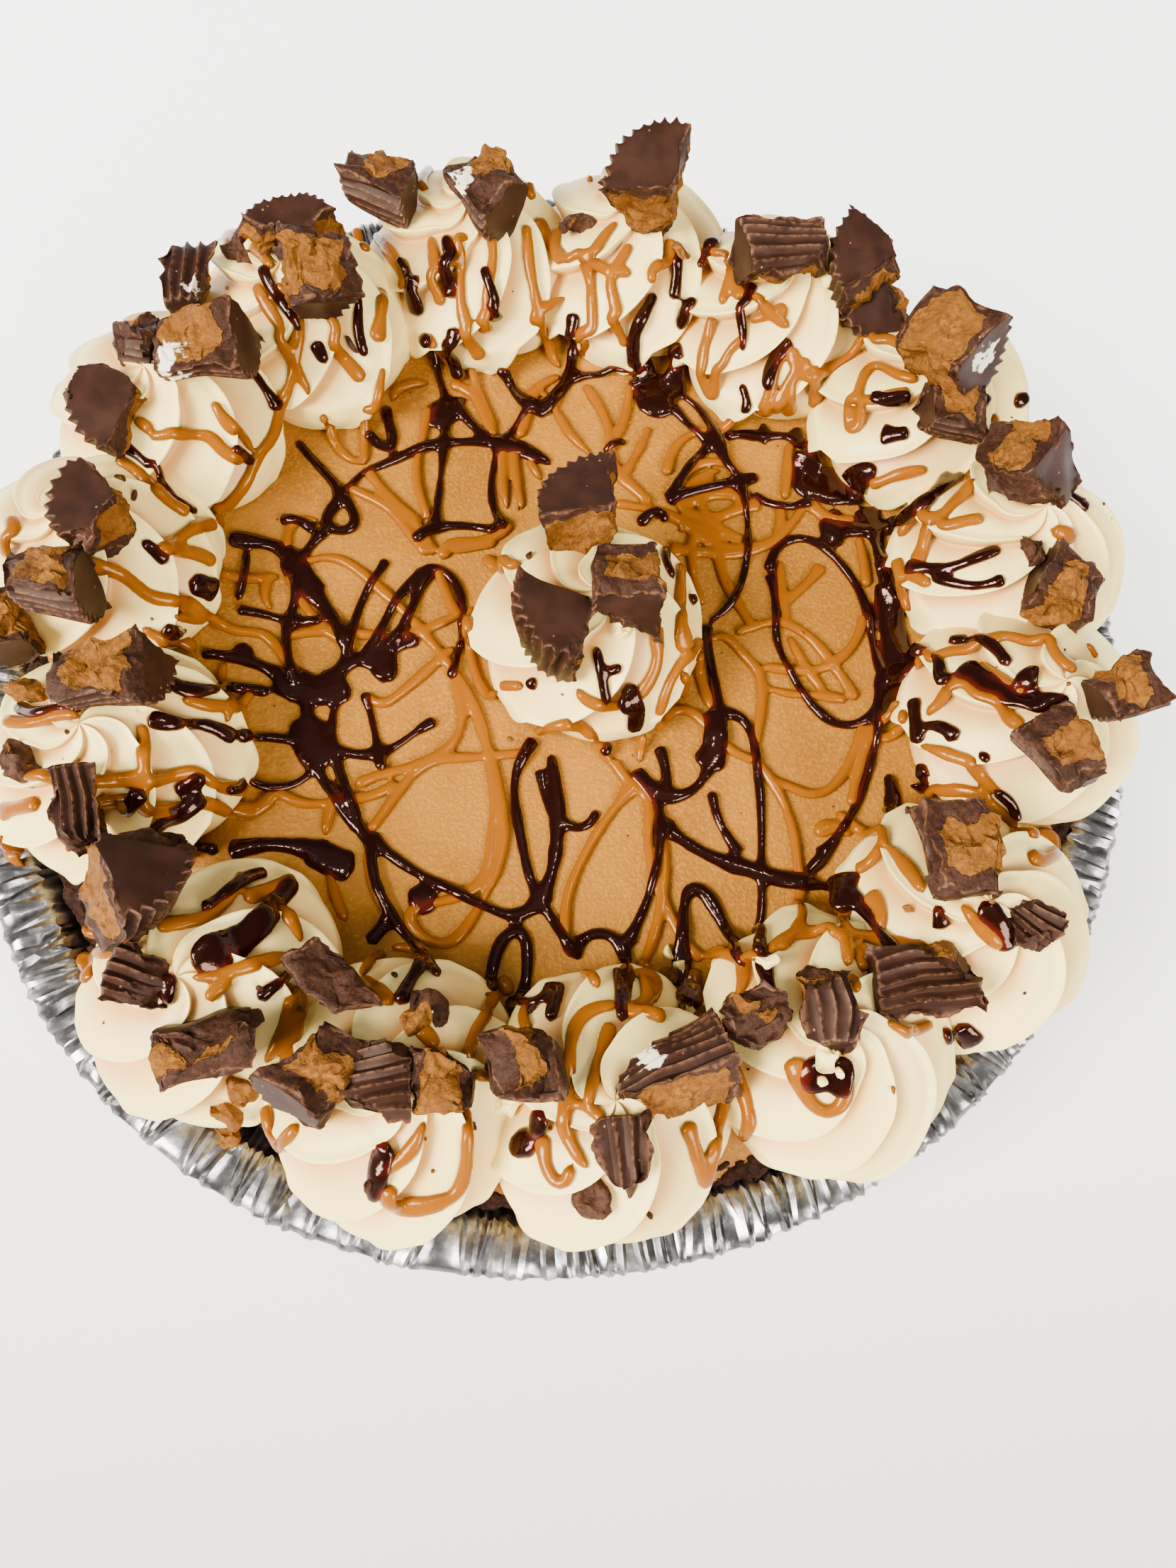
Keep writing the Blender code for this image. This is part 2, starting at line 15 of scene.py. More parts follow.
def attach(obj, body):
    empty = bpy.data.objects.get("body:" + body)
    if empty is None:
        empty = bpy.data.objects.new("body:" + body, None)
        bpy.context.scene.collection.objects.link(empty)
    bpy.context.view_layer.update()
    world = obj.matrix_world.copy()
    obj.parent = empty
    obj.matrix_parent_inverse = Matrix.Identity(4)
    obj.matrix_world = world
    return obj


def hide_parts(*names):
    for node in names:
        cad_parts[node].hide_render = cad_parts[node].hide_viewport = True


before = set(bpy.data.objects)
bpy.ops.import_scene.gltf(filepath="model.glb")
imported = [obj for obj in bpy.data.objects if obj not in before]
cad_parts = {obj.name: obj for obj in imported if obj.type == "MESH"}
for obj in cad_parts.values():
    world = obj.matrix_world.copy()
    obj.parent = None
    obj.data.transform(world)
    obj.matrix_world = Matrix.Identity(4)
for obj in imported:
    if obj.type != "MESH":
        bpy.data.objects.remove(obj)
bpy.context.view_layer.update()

MM = 0.001

# Lumps and wrinkles are the same in every run
noise.seed_set(3)

# Pan, crust and filling
RIM_HEIGHT = 30.0
FILLING_TOP = 33.0
# Pleats of the foil: pitch at a radius, depth, and how much deeper they are across the wall
PLEAT_PITCH = 2.4
PLEAT_RADIUS = 117.0
PLEAT_DEPTH = 0.95
PLEAT_STRETCH = 1.3
# Radius where the wall turns out into the flange, round which the pleats lean
FLANGE_START = 112.0
# Where the rim is bent outwards, by how much, how far round it, and above what height
BENT_AT = math.radians(230)
BENT_OUT = 3.5
BENT_SPREAD = 0.55
BENT_ABOVE = 25.0
# Section of the foil from the inside of the base over the rim to the underside: radius,
# height, and shares of the pleats across and up
FOIL_ROWS = [
    (0.02, 0.5, 0, 0), (60, 0.5, 0, 0), (86.8, 0.5, 0, 0), (88.4, 1.2, 0.3, 0),
    (92.0, 4.9, 0.8, 0), (100.0, 14.6, 1, 0), (107.5, 23.9, 1, 0), (110.3, 27.2, 1, 0.1),
    (111.6, 28.6, 0.7, 0.5), (112.8, 29.1, 0.4, 0.9), (114.5, 29.4, 0.2, 1.1),
    (116.5, 29.7, 0.2, 1.2), (118.5, 29.8, 0.25, 1.2), (120.2, 29.6, 0.3, 1.1),
    (121.3, 29.0, 0.4, 0.9), (121.6, 28.3, 0.5, 0.6), (121.2, 27.8, 0.5, 0.4),
    (120.4, 28.0, 0.4, 0.5), (118.5, 28.9, 0.25, 1.1), (116.0, 28.9, 0.2, 1.1),
    (113.6, 28.4, 0.3, 0.9), (112.2, 27.6, 0.7, 0.5), (110.9, 26.6, 1, 0.1),
    (108.0, 23.7, 1, 0), (100.5, 14.4, 1, 0), (92.5, 4.7, 0.8, 0), (89.2, 0.7, 0.3, 0),
    (87.6, 0.0, 0, 0), (60, 0.0, 0, 0), (0.02, 0.0, 0, 0),
]
# Rounded top edge of the crust: radius and height of its middle, half width, half height
CRUST_EDGE_RADIUS = 107.6
CRUST_EDGE_HEIGHT = 28.2
CRUST_EDGE_HALF_WIDTH = 3.4
CRUST_EDGE_HALF_HEIGHT = 2.3
# Radius from which the top of the filling runs down, and over what width
FILLING_FLAT = 97.0
FILLING_SLOPE = 10.0

# Cream rosettes
ROSETTE_BASE = FILLING_TOP + 0.35
ROSETTE_HEIGHT = 27.0
ROSETTE_HALF_WIDTH = 25.5
ROSETTE_HALF_LENGTH = 24.0
MIDDLE_HALF_WIDTH = 24.5
ROSETTE_TWIST = math.radians(75)
ROSETTE_ROWS = 50
FOLD_COUNTS = (6, 7, 7)
FOLD_DEPTH = 5.0
# Centre of each ring rosette: angle round the pan in degrees, distance from the axis
RING_ROSETTES = [(12, 95), (36, 95.5), (60, 91), (82, 93), (104, 93), (129, 94), (150.5, 97),
                 (172, 96), (198, 91), (228, 96.5), (251.5, 95), (274, 92), (299.5, 93.5),
                 (322, 95), (350, 92.5)]
MIDDLE_ROSETTE = (4.0, 1.0)
# Outline of a swirl from the bun at its tip to its foot, as shares of the half width and of
# the height
SWIRL_OUTLINE = [(0.0, 1.0), (0.10, 0.985), (0.19, 0.95), (0.26, 0.915), (0.31, 0.895),
                 (0.36, 0.88), (0.60, 0.77), (0.82, 0.57), (0.96, 0.34), (0.97, 0.14),
                 (0.90, 0.0)]
# The same for the smooth form that the cup pieces rest on
ROSETTE_OUTLINE = [(0.0, 1.0), (0.12, 0.96), (0.36, 0.90), (0.60, 0.76), (0.82, 0.57),
                   (0.97, 0.36), (0.97, 0.15), (0.83, 0.0)]

# Peanut butter cups, broken into pieces: radius of the wide end, height, width of the base as
# a share of the wide end, and the blunt middle of a piece
CUP_RADIUS = 13.3
CUP_HEIGHT = 13.8
CUP_BASE_SHARE = 0.78
CUP_CORE = 0.6
FLUTE_PITCH = 2.5
FLUTE_DEPTH = 1.35
# Thickness of the chocolate shell, and how much it varies
SHELL_THICKNESS = 1.9
SHELL_WANDER = 0.7
# Cells of a piece from its core to its flutes, and from its base to its wide end
CELLS_OUT = 20
CELLS_UP = 19
# How deep a piece sinks into the cream, and how far its foot reaches from its middle
SINK = 7.0
FOOTING = 5.0
# Patch of cream on a piece: distance from the piece's middle, reach, and width of its edge
PATCH_AWAY = 8.0
PATCH_REACH = 6.5
PATCH_EDGE = 4.0

# Sauces: half the height of the thickest strand, the size of the finest detail, the number of
# triangles of each sauce, and the number of points round a strand
THICKEST = 1.0
STRAND_GRAIN = 0.42
STRAND_FACES = 125000
STRAND_SIDES = 12
# Steps along a stroke, and between two points of it that lie far apart
STROKE_STEP = 0.85
FILL_STEP = 1.2
# Longest drop from one point of a strand to the next before the strand breaks off
LONGEST_GAP = 30.0


class Sauce:
    """How a sauce lies: its height as a share of its width, how much wider it is where
    strands cross, how far it fills the corners between them, and how much wider its ends are."""

    def __init__(self, flat, pooling, closing, ends):
        self.flat = flat
        self.pooling = pooling
        self.closing = closing
        self.ends = ends


BUTTER_SAUCE = Sauce(0.95, 0.1, 0.0, (-0.45, -0.3, -0.1, 0.1, 0.3))
CHOCOLATE_SAUCE = Sauce(0.75, 0.45, 0.3, (-0.2, 0.1, 0.25, 0.4, 0.5))

# The places of pieces and drizzle are as seen from this eye point, on a plane a little
# above the rim, and slide along the line of sight to what carries them
EYE = Vector((-10.5, -97.6, RIM_HEIGHT + 221.0))
READING_HEIGHT = RIM_HEIGHT + 14.0
# Heights of the cup fragments and of the dabs of cream
FRAGMENT_HEIGHT = 60.0
DAB_HEIGHT = 55.0

# Name, x, y, face up, turn, lean, tip, span of the sector, size, share of the height, lift.
# Faces: the disc, the fluted side, or a cut with the wide end on its left or right.
CUP_PIECES = [
    ("middle_back", 1, 26, "disc", 140, -12, 8, 100, 1.15, 1.0, 0),
    ("middle_front", 11, 8, "cut", 180, 0, 22, 90, 1.05, 1.0, 1),
    ("middle_left", -5.5, -2, "disc", 212, 12, 0, 98, 1.1, 0.9, 0),
    ("north_peak", 17, 114, "disc", 130, 10, -12, 100, 1.15, 1.1, 3),
    ("north_wedge", -21, 107, "cut", 225, 15, 0, 85, 1.1, 1.0, 0),
    ("north_small", -43, 105, "cut", 255, 15, 0, 90, 1.05, 1.0, 0),
    ("northwest_dome", -62.5, 97, "disc", 100, 0, 180, 105, 1.08, 0.8, 0),
    ("northwest_crumbly", -55, 84, "cut_right", 20, 0, 15, 92, 1.12, 0.95, 0),
    ("west_fluted", -82.5, 79, "side", 95, -15, 0, 40, 1.1, 1.0, 0),
    ("west_crumb", -91, 61.5, "cut", 280, 30, 0, 80, 0.85, 0.8, 0),
    ("west_block", -77, 61, "cut", 280, -5, 12, 95, 1.12, 1.1, 2),
    ("west_slab", -98, 46.5, "disc", 195, 0, -8, 110, 1.08, 0.7, 0),
    ("west_smooth", -98, 21.5, "disc", 190, 0, 8, 110, 1.0, 0.8, 0),
    ("west_step", -102, 5, "cut", 275, 35, 0, 90, 1.05, 0.9, 3),
    ("west_outer", -111, -3, "cut", 200, 0, 0, 90, 0.95, 0.9, 0),
    ("west_square", -87.5, -14, "cut", 280, 12, 15, 90, 1.1, 1.0, 1),
    ("southwest_upright", -91, -39, "side", 280, -20, 0, 36, 1.05, 1.1, 0),
    ("southwest_large", -77, -54, "disc", 345, -15, -32, 100, 1.3, 0.9, 0),
    ("southwest_rough", -76, -70, "side", 170, 0, 0, 55, 0.9, 0.85, 0),
    ("southwest_mixed", -62.5, -81.5, "cut", 15, 0, 12, 90, 1.3, 0.5, 0),
    ("south_stick", -41.5, -72, "cut", 310, 0, 0, 60, 1.3, 0.4, 0),
    ("south_triangle", -46, -87, "cut", 150, 0, 22, 90, 1.1, 0.85, 0),
    ("south_fan", -34.5, -88, "side", 8, 0, 0, 80, 0.88, 0.9, 2),
    ("south_crumb", -23, -87, "cut", 90, 0, 0, 80, 0.85, 0.8, 0),
    ("south_oval", -8, -87, "cut", 285, 20, 0, 90, 1.0, 0.85, 0),
    ("south_large", 18, -86, "side", 17, 0, -60, 60, 1.25, 1.2, 0),
    ("south_column", 9, -101, "side", 100, 0, 0, 36, 0.95, 1.0, 0),
    ("south_hollow", 34, -78, "cut", 310, 0, 0, 70, 1.0, 0.6, 0),
    ("south_upright", 47, -75, "side", 95, -12, 0, 46, 0.98, 1.1, 0),
    ("southeast_fan", 65, -70, "side", 8, 0, 0, 60, 1.15, 1.1, 0),
    ("east_frame", 73, -46, "cut_right", 183, 0, 0, 92, 1.1, 1.1, 0),
    ("southeast_rough", 87, -59, "side", 320, 0, 0, 65, 0.85, 0.9, 0),
    ("east_block", 96, -26, "cut_right", 205, 0, 0, 92, 1.0, 1.05, 0),
    ("east_square", 111, -13, "cut", 300, 0, 0, 90, 0.95, 0.95, 0),
    ("east_shard", 103, 11, "cut", 60, 0, 0, 80, 1.15, 0.75, 0),
    ("northeast_wedge", 97, 38, "cut", 230, 0, 40, 90, 1.25, 0.9, 0),
    ("northeast_small", 83, 51, "cut", 270, 15, 0, 88, 1.0, 0.85, 0),
    ("northeast_long", 86, 71, "cut_right", 45, 25, -22, 95, 1.15, 1.1, 2),
    ("north_fluted", 49, 95, "side", 190, 0, 0, 60, 1.15, 1.15, 2),
    ("north_plate", 64, 91, "disc", 170, 0, -5, 100, 1.2, 0.75, 0),
    ("north_low", 69, 77, "disc", 270, -30, 0, 90, 1.0, 0.9, -2),
]
# Number of broken corners, where it isn't two
ROUGHNESS = {"southeast_rough": 6, "southwest_rough": 6, "northwest_crumbly": 4,
             "northeast_wedge": 4, "south_fan": 3, "west_crumb": 4, "south_crumb": 6,
             "south_stick": 4, "middle_front": 3, "southwest_mixed": 4, "north_small": 2,
             "east_shard": 4, "south_oval": 3, "south_hollow": 4, "west_outer": 4,
             "north_low": 4, "north_plate": 3, "southwest_upright": 4, "south_upright": 3,
             "southeast_fan": 3, "middle_left": 1, "northwest_dome": 1}
# Thickness of the chocolate as a share of the usual one, where it isn't that
SHELLS = {"southwest_mixed": 1.4, "south_stick": 1.6, "south_triangle": 1.5, "south_oval": 1.4,
          "south_hollow": 1.5, "southeast_rough": 2.2, "south_upright": 1.4,
          "southwest_upright": 1.6, "southwest_rough": 1.6, "east_frame": 1.5,
          "east_block": 1.3, "north_wedge": 1.7, "north_peak": 1.2, "northeast_wedge": 1.6,
          "south_column": 1.8, "west_crumb": 1.3, "south_crumb": 0.6, "west_block": 1.2,
          "north_small": 1.4, "middle_front": 1.2}
# Pieces with cream on them, and the direction of the patch from their middle
SMEARED = {"north_wedge": (-0.5, -0.2, 0.8), "west_fluted": (0.3, -0.3, 0.8),
           "west_block": (-0.6, -0.5, 0.5), "northeast_long": (0.4, -0.6, 0.5),
           "south_large": (-0.7, 0.4, 0.5)}

# Loose crumbs: their sizes, how far from the axis they lie, the height that all of them fall
# from, the size above which they are craggy, and whether they are chocolate (-1) or butter (2)
CRUMB_SIZES = (0.7, 0.8, 1.0, 1.4, 2.0)
CRUMB_REACH = 116.0
FALL_FROM = 120.0
CRAGGY_SIZE = 3.0
CRUMB_KINDS = (-1.0, 2.0)
# Small fragments of cup: x, y, size, and their kind
FRAGMENTS = [(2, 106, 9, -1), (-104, -29, 8, -1), (-67, -96, 5, 2), (-64, -93, 5, 2),
             (-60, -89, 4.5, 2), (-56, -86, 4, 2), (-25, -75, 8, -1), (-28, -77, 5, 2),
             (4, -108, 6.5, -1), (21, -66, 4, 2), (24, -70, 4.5, -1), (27, -75, 4, 2),
             (-107, -13, 6, 2), (98.5, 21, 6, -1), (-54, 101, 5, 2), (-74, 92, 6, -1),
             (-66, 89, 5, 2), (26, 98, 4, 2), (-49, 74, 3, -1), (12, -95, 4, -1)]

# Small dabs of cream: x, y, size
CREAM_DABS = [(45, -85, 3.6), (46.5, -87, 2.6), (44, -88.5, 2.2), (-11, -92, 3.5), (21, -62, 3),
              (23, -64.5, 3), (25.5, -67, 2.5), (-70, 88, 3), (78, 66, 3.5), (57, 84, 3),
              (7, 4, 5), (10, -1, 4), (-76, 62, 3), (36, -67, 3.2)]

# Chocolate drizzle: width, points as seen on the reading plane
CHOCOLATE = [
    (2.4, [(-57, 41), (-53, 36), (-47, 28.5), (-49.5, 24), (-50, 21), (-46, 19.5), (-43.5, 21),
           (-44.5, 25), (-47, 28)]),
    (2.1, [(-46, 29), (-43, 34), (-40, 35), (-33, 39), (-28, 41), (-17, 42), (-10, 40.5),
           (-4, 37)]),
    (2.0, [(-30, 66), (-28, 57), (-26, 50), (-26.5, 42), (-27, 33), (-27.5, 25), (-28, 21)]),
    (2.4, [(-25, 52), (-21, 46), (-17, 42.5)]),
    (2.7, [(-15, 61), (-11, 53), (-6, 50), (-3, 54), (0, 59), (0.5, 68), (1, 76)]),
    (2.0, [(0, 58.5), (5, 59.5), (14, 60), (18, 59)]),
    (2.0, [(-9, 51), (-12, 45), (-14, 42.5)]),
    (2.0, [(-15, 42), (-16.5, 33), (-16, 26), (-13.5, 21.5)]),
    (2.0, [(-32, 18), (-29, 21), (-22, 22), (-15, 21)]),
    (2.4, [(-39, 50), (-38, 45), (-36.5, 40), (-38, 39), (-41, 41), (-43, 44)]),
    (4.5, [(15, 62), (17, 52), (20, 52), (25, 66)]),
    (2.0, [(21, 57), (27, 53), (31, 46), (33, 39), (36, 35)]),
    (2.0, [(22, 52), (26, 47), (28, 45), (31, 42)]),
    (2.0, [(20.5, 29), (24, 36), (29, 42), (32, 45)]),
    (2.4, [(20, 29), (27, 32), (35, 34), (40, 35.5)]),
    (2.0, [(36, 33), (37, 24), (36, 14), (33, 6), (28, 1.5)]),
    (2.1, [(41, 13), (42, 18), (46, 21), (50, 21), (54, 18), (57, 14), (60, 8), (61, 0), (62, -8),
           (64, -12)]),
    (2.1, [(41, 13), (42, 8), (41.5, -2), (44, -9), (47, -15), (52, -20), (57, -20), (61, -17),
           (64, -12)]),
    (3.5, [(62, 29), (64, 22), (65, 16), (66, 10), (65, 0), (66, -8), (62, -13)]),
    (2.4, [(65, 0), (67, -3), (71, -5)]),
    (2.0, [(62, -13), (61, -20), (59, -28), (55, -37), (50, -44), (47, -47)]),
    (2.0, [(30, -18), (34, -19), (36, -25), (36.5, -38), (36, -48), (35.5, -58), (34.5, -66)]),
    (2.4, [(17, -41), (24, -46), (31, -49), (38, -51), (44, -53)]),
    (2.4, [(30, -48), (36, -50.5), (43, -52), (50, -53)]),
    (6, [(46, -47), (48, -49)]),
    (2.0, [(27, -34), (28, -40), (32, -47)]),
    (2.4, [(27, 1), (28, -8), (29, -17), (28, -25), (25.5, -32), (21, -35.5), (16, -34.5),
           (12, -30)]),
    (2.0, [(17, -25), (18.5, -31), (18, -37)]),
    (2.0, [(12, -30), (17, -39), (16.5, -47), (14, -56), (10, -64)]),
    (2.1, [(-7, -24), (-9, -27), (-11, -33), (-9.5, -44), (-7, -54), (-3, -60), (0, -65)]),
    (2.7, [(-4, -27), (-2.5, -38), (-3.5, -50), (-6, -56)]),
    (2.1, [(-38, -44), (-30, -50), (-22, -54), (-16, -57), (-10, -59), (-6, -56)]),
    (2.0, [(-6, -30), (-5, -36), (-2, -41), (3, -42), (5, -38)]),
    (2.4, [(-1, -66), (3, -62), (7, -62), (10, -66), (9, -75)]),
    (2.7, [(20, -75), (20.5, -60), (22, -53), (25, -54), (29, -62), (32, -68)]),
    (2.4, [(-15, -72), (-13, -63), (-9, -61), (-8, -68), (-9, -74)]),
    (3.0, [(-69, 17.5), (-60, 16.5), (-55, 13), (-52, 7), (-48, 2), (-45, -3), (-44, -6)]),
    (2.0, [(-65, 15), (-65, 8), (-66, 4)]),
    (2.4, [(-66, 2), (-60, 1), (-55, -0.5), (-49, 0)]),
    (2.0, [(-50, 20), (-54, 14), (-55.5, 10), (-54.5, 5), (-56, -3), (-54, -12), (-52, -16)]),
    (2.0, [(-37, 14), (-41, 6), (-43, -1), (-44.5, -9), (-46, -14)]),
    (2.0, [(-40, -8), (-37, 0), (-33, 8), (-28, 12.5), (-23, 9), (-21.5, 3), (-22, -5),
           (-23.5, -12)]),
    (2.0, [(-29, 12), (-32, 2), (-35, -4), (-40, -8)]),
    (2.4, [(-30, -3), (-41, -8), (-50, -14)]),
    (2.4, [(-72, -7.5), (-64, -8.5), (-58, -11), (-51, -15)]),
    (2.1, [(-64, -24.5), (-58, -24.5), (-51, -25.5), (-45, -27), (-40, -28), (-35, -27),
           (-30, -23), (-26, -20.5)]),
    (5, [(-50, -26), (-48, -28)]),
    (2.1, [(-52, -15), (-50, -22), (-49, -29), (-45, -36), (-41, -41), (-38, -44), (-36.5, -52),
           (-33, -59), (-28, -65), (-24, -70)]),
    (2.0, [(-33, -59), (-37, -64)]),
    (2.0, [(-45, -16), (-46, -20), (-45, -28), (-42, -36), (-40, -41)]),
    (2.0, [(-40, -15), (-38, -22), (-36, -31)]),
    (2.0, [(-65, -35), (-53, -34.5), (-48, -30)]),
    (3.2, [(-63.5, -47), (-56, -45.5), (-48, -46.5), (-40, -48)]),
    (4, [(-25, -54.5), (-30, -57)]),
    (2.0, [(38, 31), (45, 28), (51, 30)]),
    (2.0, [(48, 48), (50, 43), (52, 36), (57, 30)]),
    (4, [(51, 40), (48, 33), (55, 32), (59, 30)]),
    (3.0, [(52, 25), (56, 24), (64, 23), (68, 25), (74, 29), (82, 37)]),
    (2.1, [(33, 45), (37, 46), (41, 45), (47, 46), (51, 41)]),
    (5, [(40, 46), (43, 46)]),
    (2.0, [(37.3, 59), (38.5, 55), (38.7, 50)]),
    (2.0, [(7, 40), (9, 43), (12, 43)]),
    (2.0, [(14, 23), (18, 27.5), (20, 24)]),
    (4, [(62, -30), (63, -38)]),
    (4, [(70, -28), (68, -34)]),
    (2.4, [(6, -31), (7, -32)]),
    (4.4, [(-58, 13.5), (-54, 10), (-51, 4)]),
    (4.6, [(-57, -11.5), (-52, -14.5), (-47, -15), (-44, -12)]),
    (5.5, [(-51, -20), (-50, -25), (-46, -30)]),
    (4, [(-49, -46), (-44, -49), (-40, -50)]),
    (3.6, [(-39, -6), (-36, -10), (-37, -13)]),
    (5.5, [(-28, 52), (-26, 48), (-24, 47)]),
    (3.0, [(-17, 41.5), (-10, 40.5), (-6, 37.5)]),
    (4, [(-8, 50), (-5, 49.5)]),
    (6, [(17, 60), (18.5, 54), (20, 51)]),
    (4.5, [(52, 24), (58, 23)]),
    (4.5, [(53, 38), (56, 33), (61, 30)]),
    (4.4, [(64.5, 12), (66, 3), (66, -4), (68, -9)]),
    (4, [(66, -11), (61, -14)]),
    (3.8, [(28, -17), (28.5, -24), (26, -30)]),
    (4.2, [(52, -50), (51, -58)]),
    # On the cream of the west and northwest
    (2.4, [(-80, -12), (-74, -15.5), (-65, -14.5), (-58, -15.5)]),
    (3.5, [(-65, -5), (-63, -9)]),
    (2.3, [(-59, 22), (-55, 22.5), (-52, 20)]),
    (2.3, [(-67, 84), (-64, 78), (-60, 72), (-58, 68)]),
    (2.3, [(-46, 78), (-46, 70), (-44, 62)]),
    (2.7, [(-55, 66), (-52, 60)]),
    (2.3, [(-68, 58), (-61, 48)]),
    (2.3, [(-92, 39), (-87, 35), (-82, 28), (-76, 24)]),
    (2.3, [(-70, 39), (-65, 35)]),
    (2.3, [(-86, 17), (-80, 12)]),
    (3.2, [(-76, 8), (-70, 6)]),
    (2.3, [(-80, -2), (-74, -4)]),
    (4, [(-107, 14), (-106, 14)]),
    (4, [(-73, 21), (-72, 22)]),
    (4, [(-99, -44), (-98, -43)]),
    # On the cream of the north
    (2.3, [(-28, 95), (-26, 89), (-26, 78)]),
    (2.7, [(-19, 87), (-17, 79), (-16, 73)]),
    (2.3, [(-41, 84), (-40, 80), (-37, 76)]),
    (4, [(-33, 81), (-33, 73)]),
    (2.7, [(-25, 71), (-25, 63), (-24, 57)]),
    (2.3, [(24, 93), (24, 87), (23, 80)]),
    (2.3, [(19, 82), (17, 77), (14, 70), (14, 61)]),
    (2.7, [(28, 81), (25, 75), (24, 72)]),
    (2.3, [(31, 95), (29, 89)]),
    (2.0, [(41, 85), (39, 77), (38, 67)]),
    (2.7, [(49, 71), (45, 65), (43, 57)]),
    # On the cream of the northeast and east
    (2.7, [(67, 52), (69, 56), (75, 57)]),
    (2.3, [(67, 47), (71, 47), (74, 48)]),
    (4, [(66, 39), (61, 36), (60, 32)]),
    (2.3, [(84, 37), (79, 33), (72, 28), (67, 24)]),
    (2.7, [(91, 20), (84, 17), (79, 15), (70, 15)]),
    (2.3, [(75, 13), (84, 11), (91, 13)]),
    (6, [(92, 15), (93, 15)]),
    (2.7, [(99, 59), (100, 55)]),
    (2.3, [(90, 58), (92, 55)]),
    (2.8, [(103, 37), (107, 33), (111, 30)]),
    (2.3, [(77, -2), (83, -1), (87, -3), (89, -7)]),
    (4, [(91, -8), (95, -11)]),
    (3.6, [(79, -7), (83, -10), (88, -14), (91, -16), (97, -14), (101, -14)]),
    (2.3, [(73, -9), (76, -11)]),
    (2.3, [(70, -20), (75, -20), (77, -23)]),
    (2.7, [(69, -14), (69, -24)]),
    (2.3, [(81, -25), (81, -28)]),
    (2.3, [(83, -33), (87, -36), (87, -39)]),
    # On the cream of the south
    (2.3, [(53, -53), (57, -60), (61, -66)]),
    (2.3, [(69, -56), (70, -61)]),
    (4, [(78, -56), (81, -60), (82, -65)]),
    (2.3, [(35, -66), (37, -74), (40, -78)]),
    (4, [(43, -84), (46, -90)]),
    (2.3, [(71, -78), (74, -82)]),
    (2.3, [(68, -79), (69, -82)]),
    (2.3, [(-2, -71), (-4, -78)]),
    (2.3, [(8, -68), (9, -78)]),
    (2.3, [(20, -66), (20, -76)]),
    (4, [(-9, -96), (-7, -101)]),
    (4, [(13, -101), (13, -102)]),
    (2.4, [(-12, -74), (-8, -75), (-4.5, -74), (-2.5, -71)]),
    (2.7, [(-5, -93), (-6, -98)]),
    (4, [(47, -84), (49, -88), (47, -91)]),
    # On the cream of the southwest
    (3.5, [(-72, -69), (-71, -75)]),
    (2.3, [(-105, -19), (-101, -21), (-97, -19), (-93, -20)]),
    (2.7, [(-81, -21), (-77, -22), (-70, -22), (-64, -25)]),
    (3.0, [(-74, -36), (-69, -32)]),
    (2.3, [(-80, -35), (-83, -40)]),
    (2.7, [(-69, -36), (-73, -40), (-77, -42), (-78, -46)]),
    (2.3, [(-72, -48), (-68, -46), (-65, -47)]),
    (2.3, [(-56, -51), (-60, -52), (-63, -55), (-67, -58)]),
    (5, [(-51, -52), (-54, -56), (-58, -62), (-63, -65), (-68, -68)]),
    (2.3, [(-47, -66), (-52, -70), (-56, -74)]),
    (4, [(-85, -71), (-84, -72)]),
    (4, [(-84, -75), (-83, -76)]),
    (2.3, [(-27, -67), (-30, -72), (-31, -75)]),
    (4, [(-32, -98), (-33, -104), (-34, -108)]),
    # On the middle rosette
    (2.3, [(19, 19), (19, 15), (21, 11)]),
    (2.3, [(24, 8), (25, 5)]),
    (2.3, [(-8, -11), (-7, -14)]),
    (2.7, [(5, -4), (6, -9), (7, -17)]),
    (2.3, [(8, -8), (10, -10)]),
    (3.5, [(11, -12), (13, -17), (12, -22)]),
    (2.3, [(7, -25), (6, -28)]),
    (2.3, [(9, -17), (12, -16)]),
]

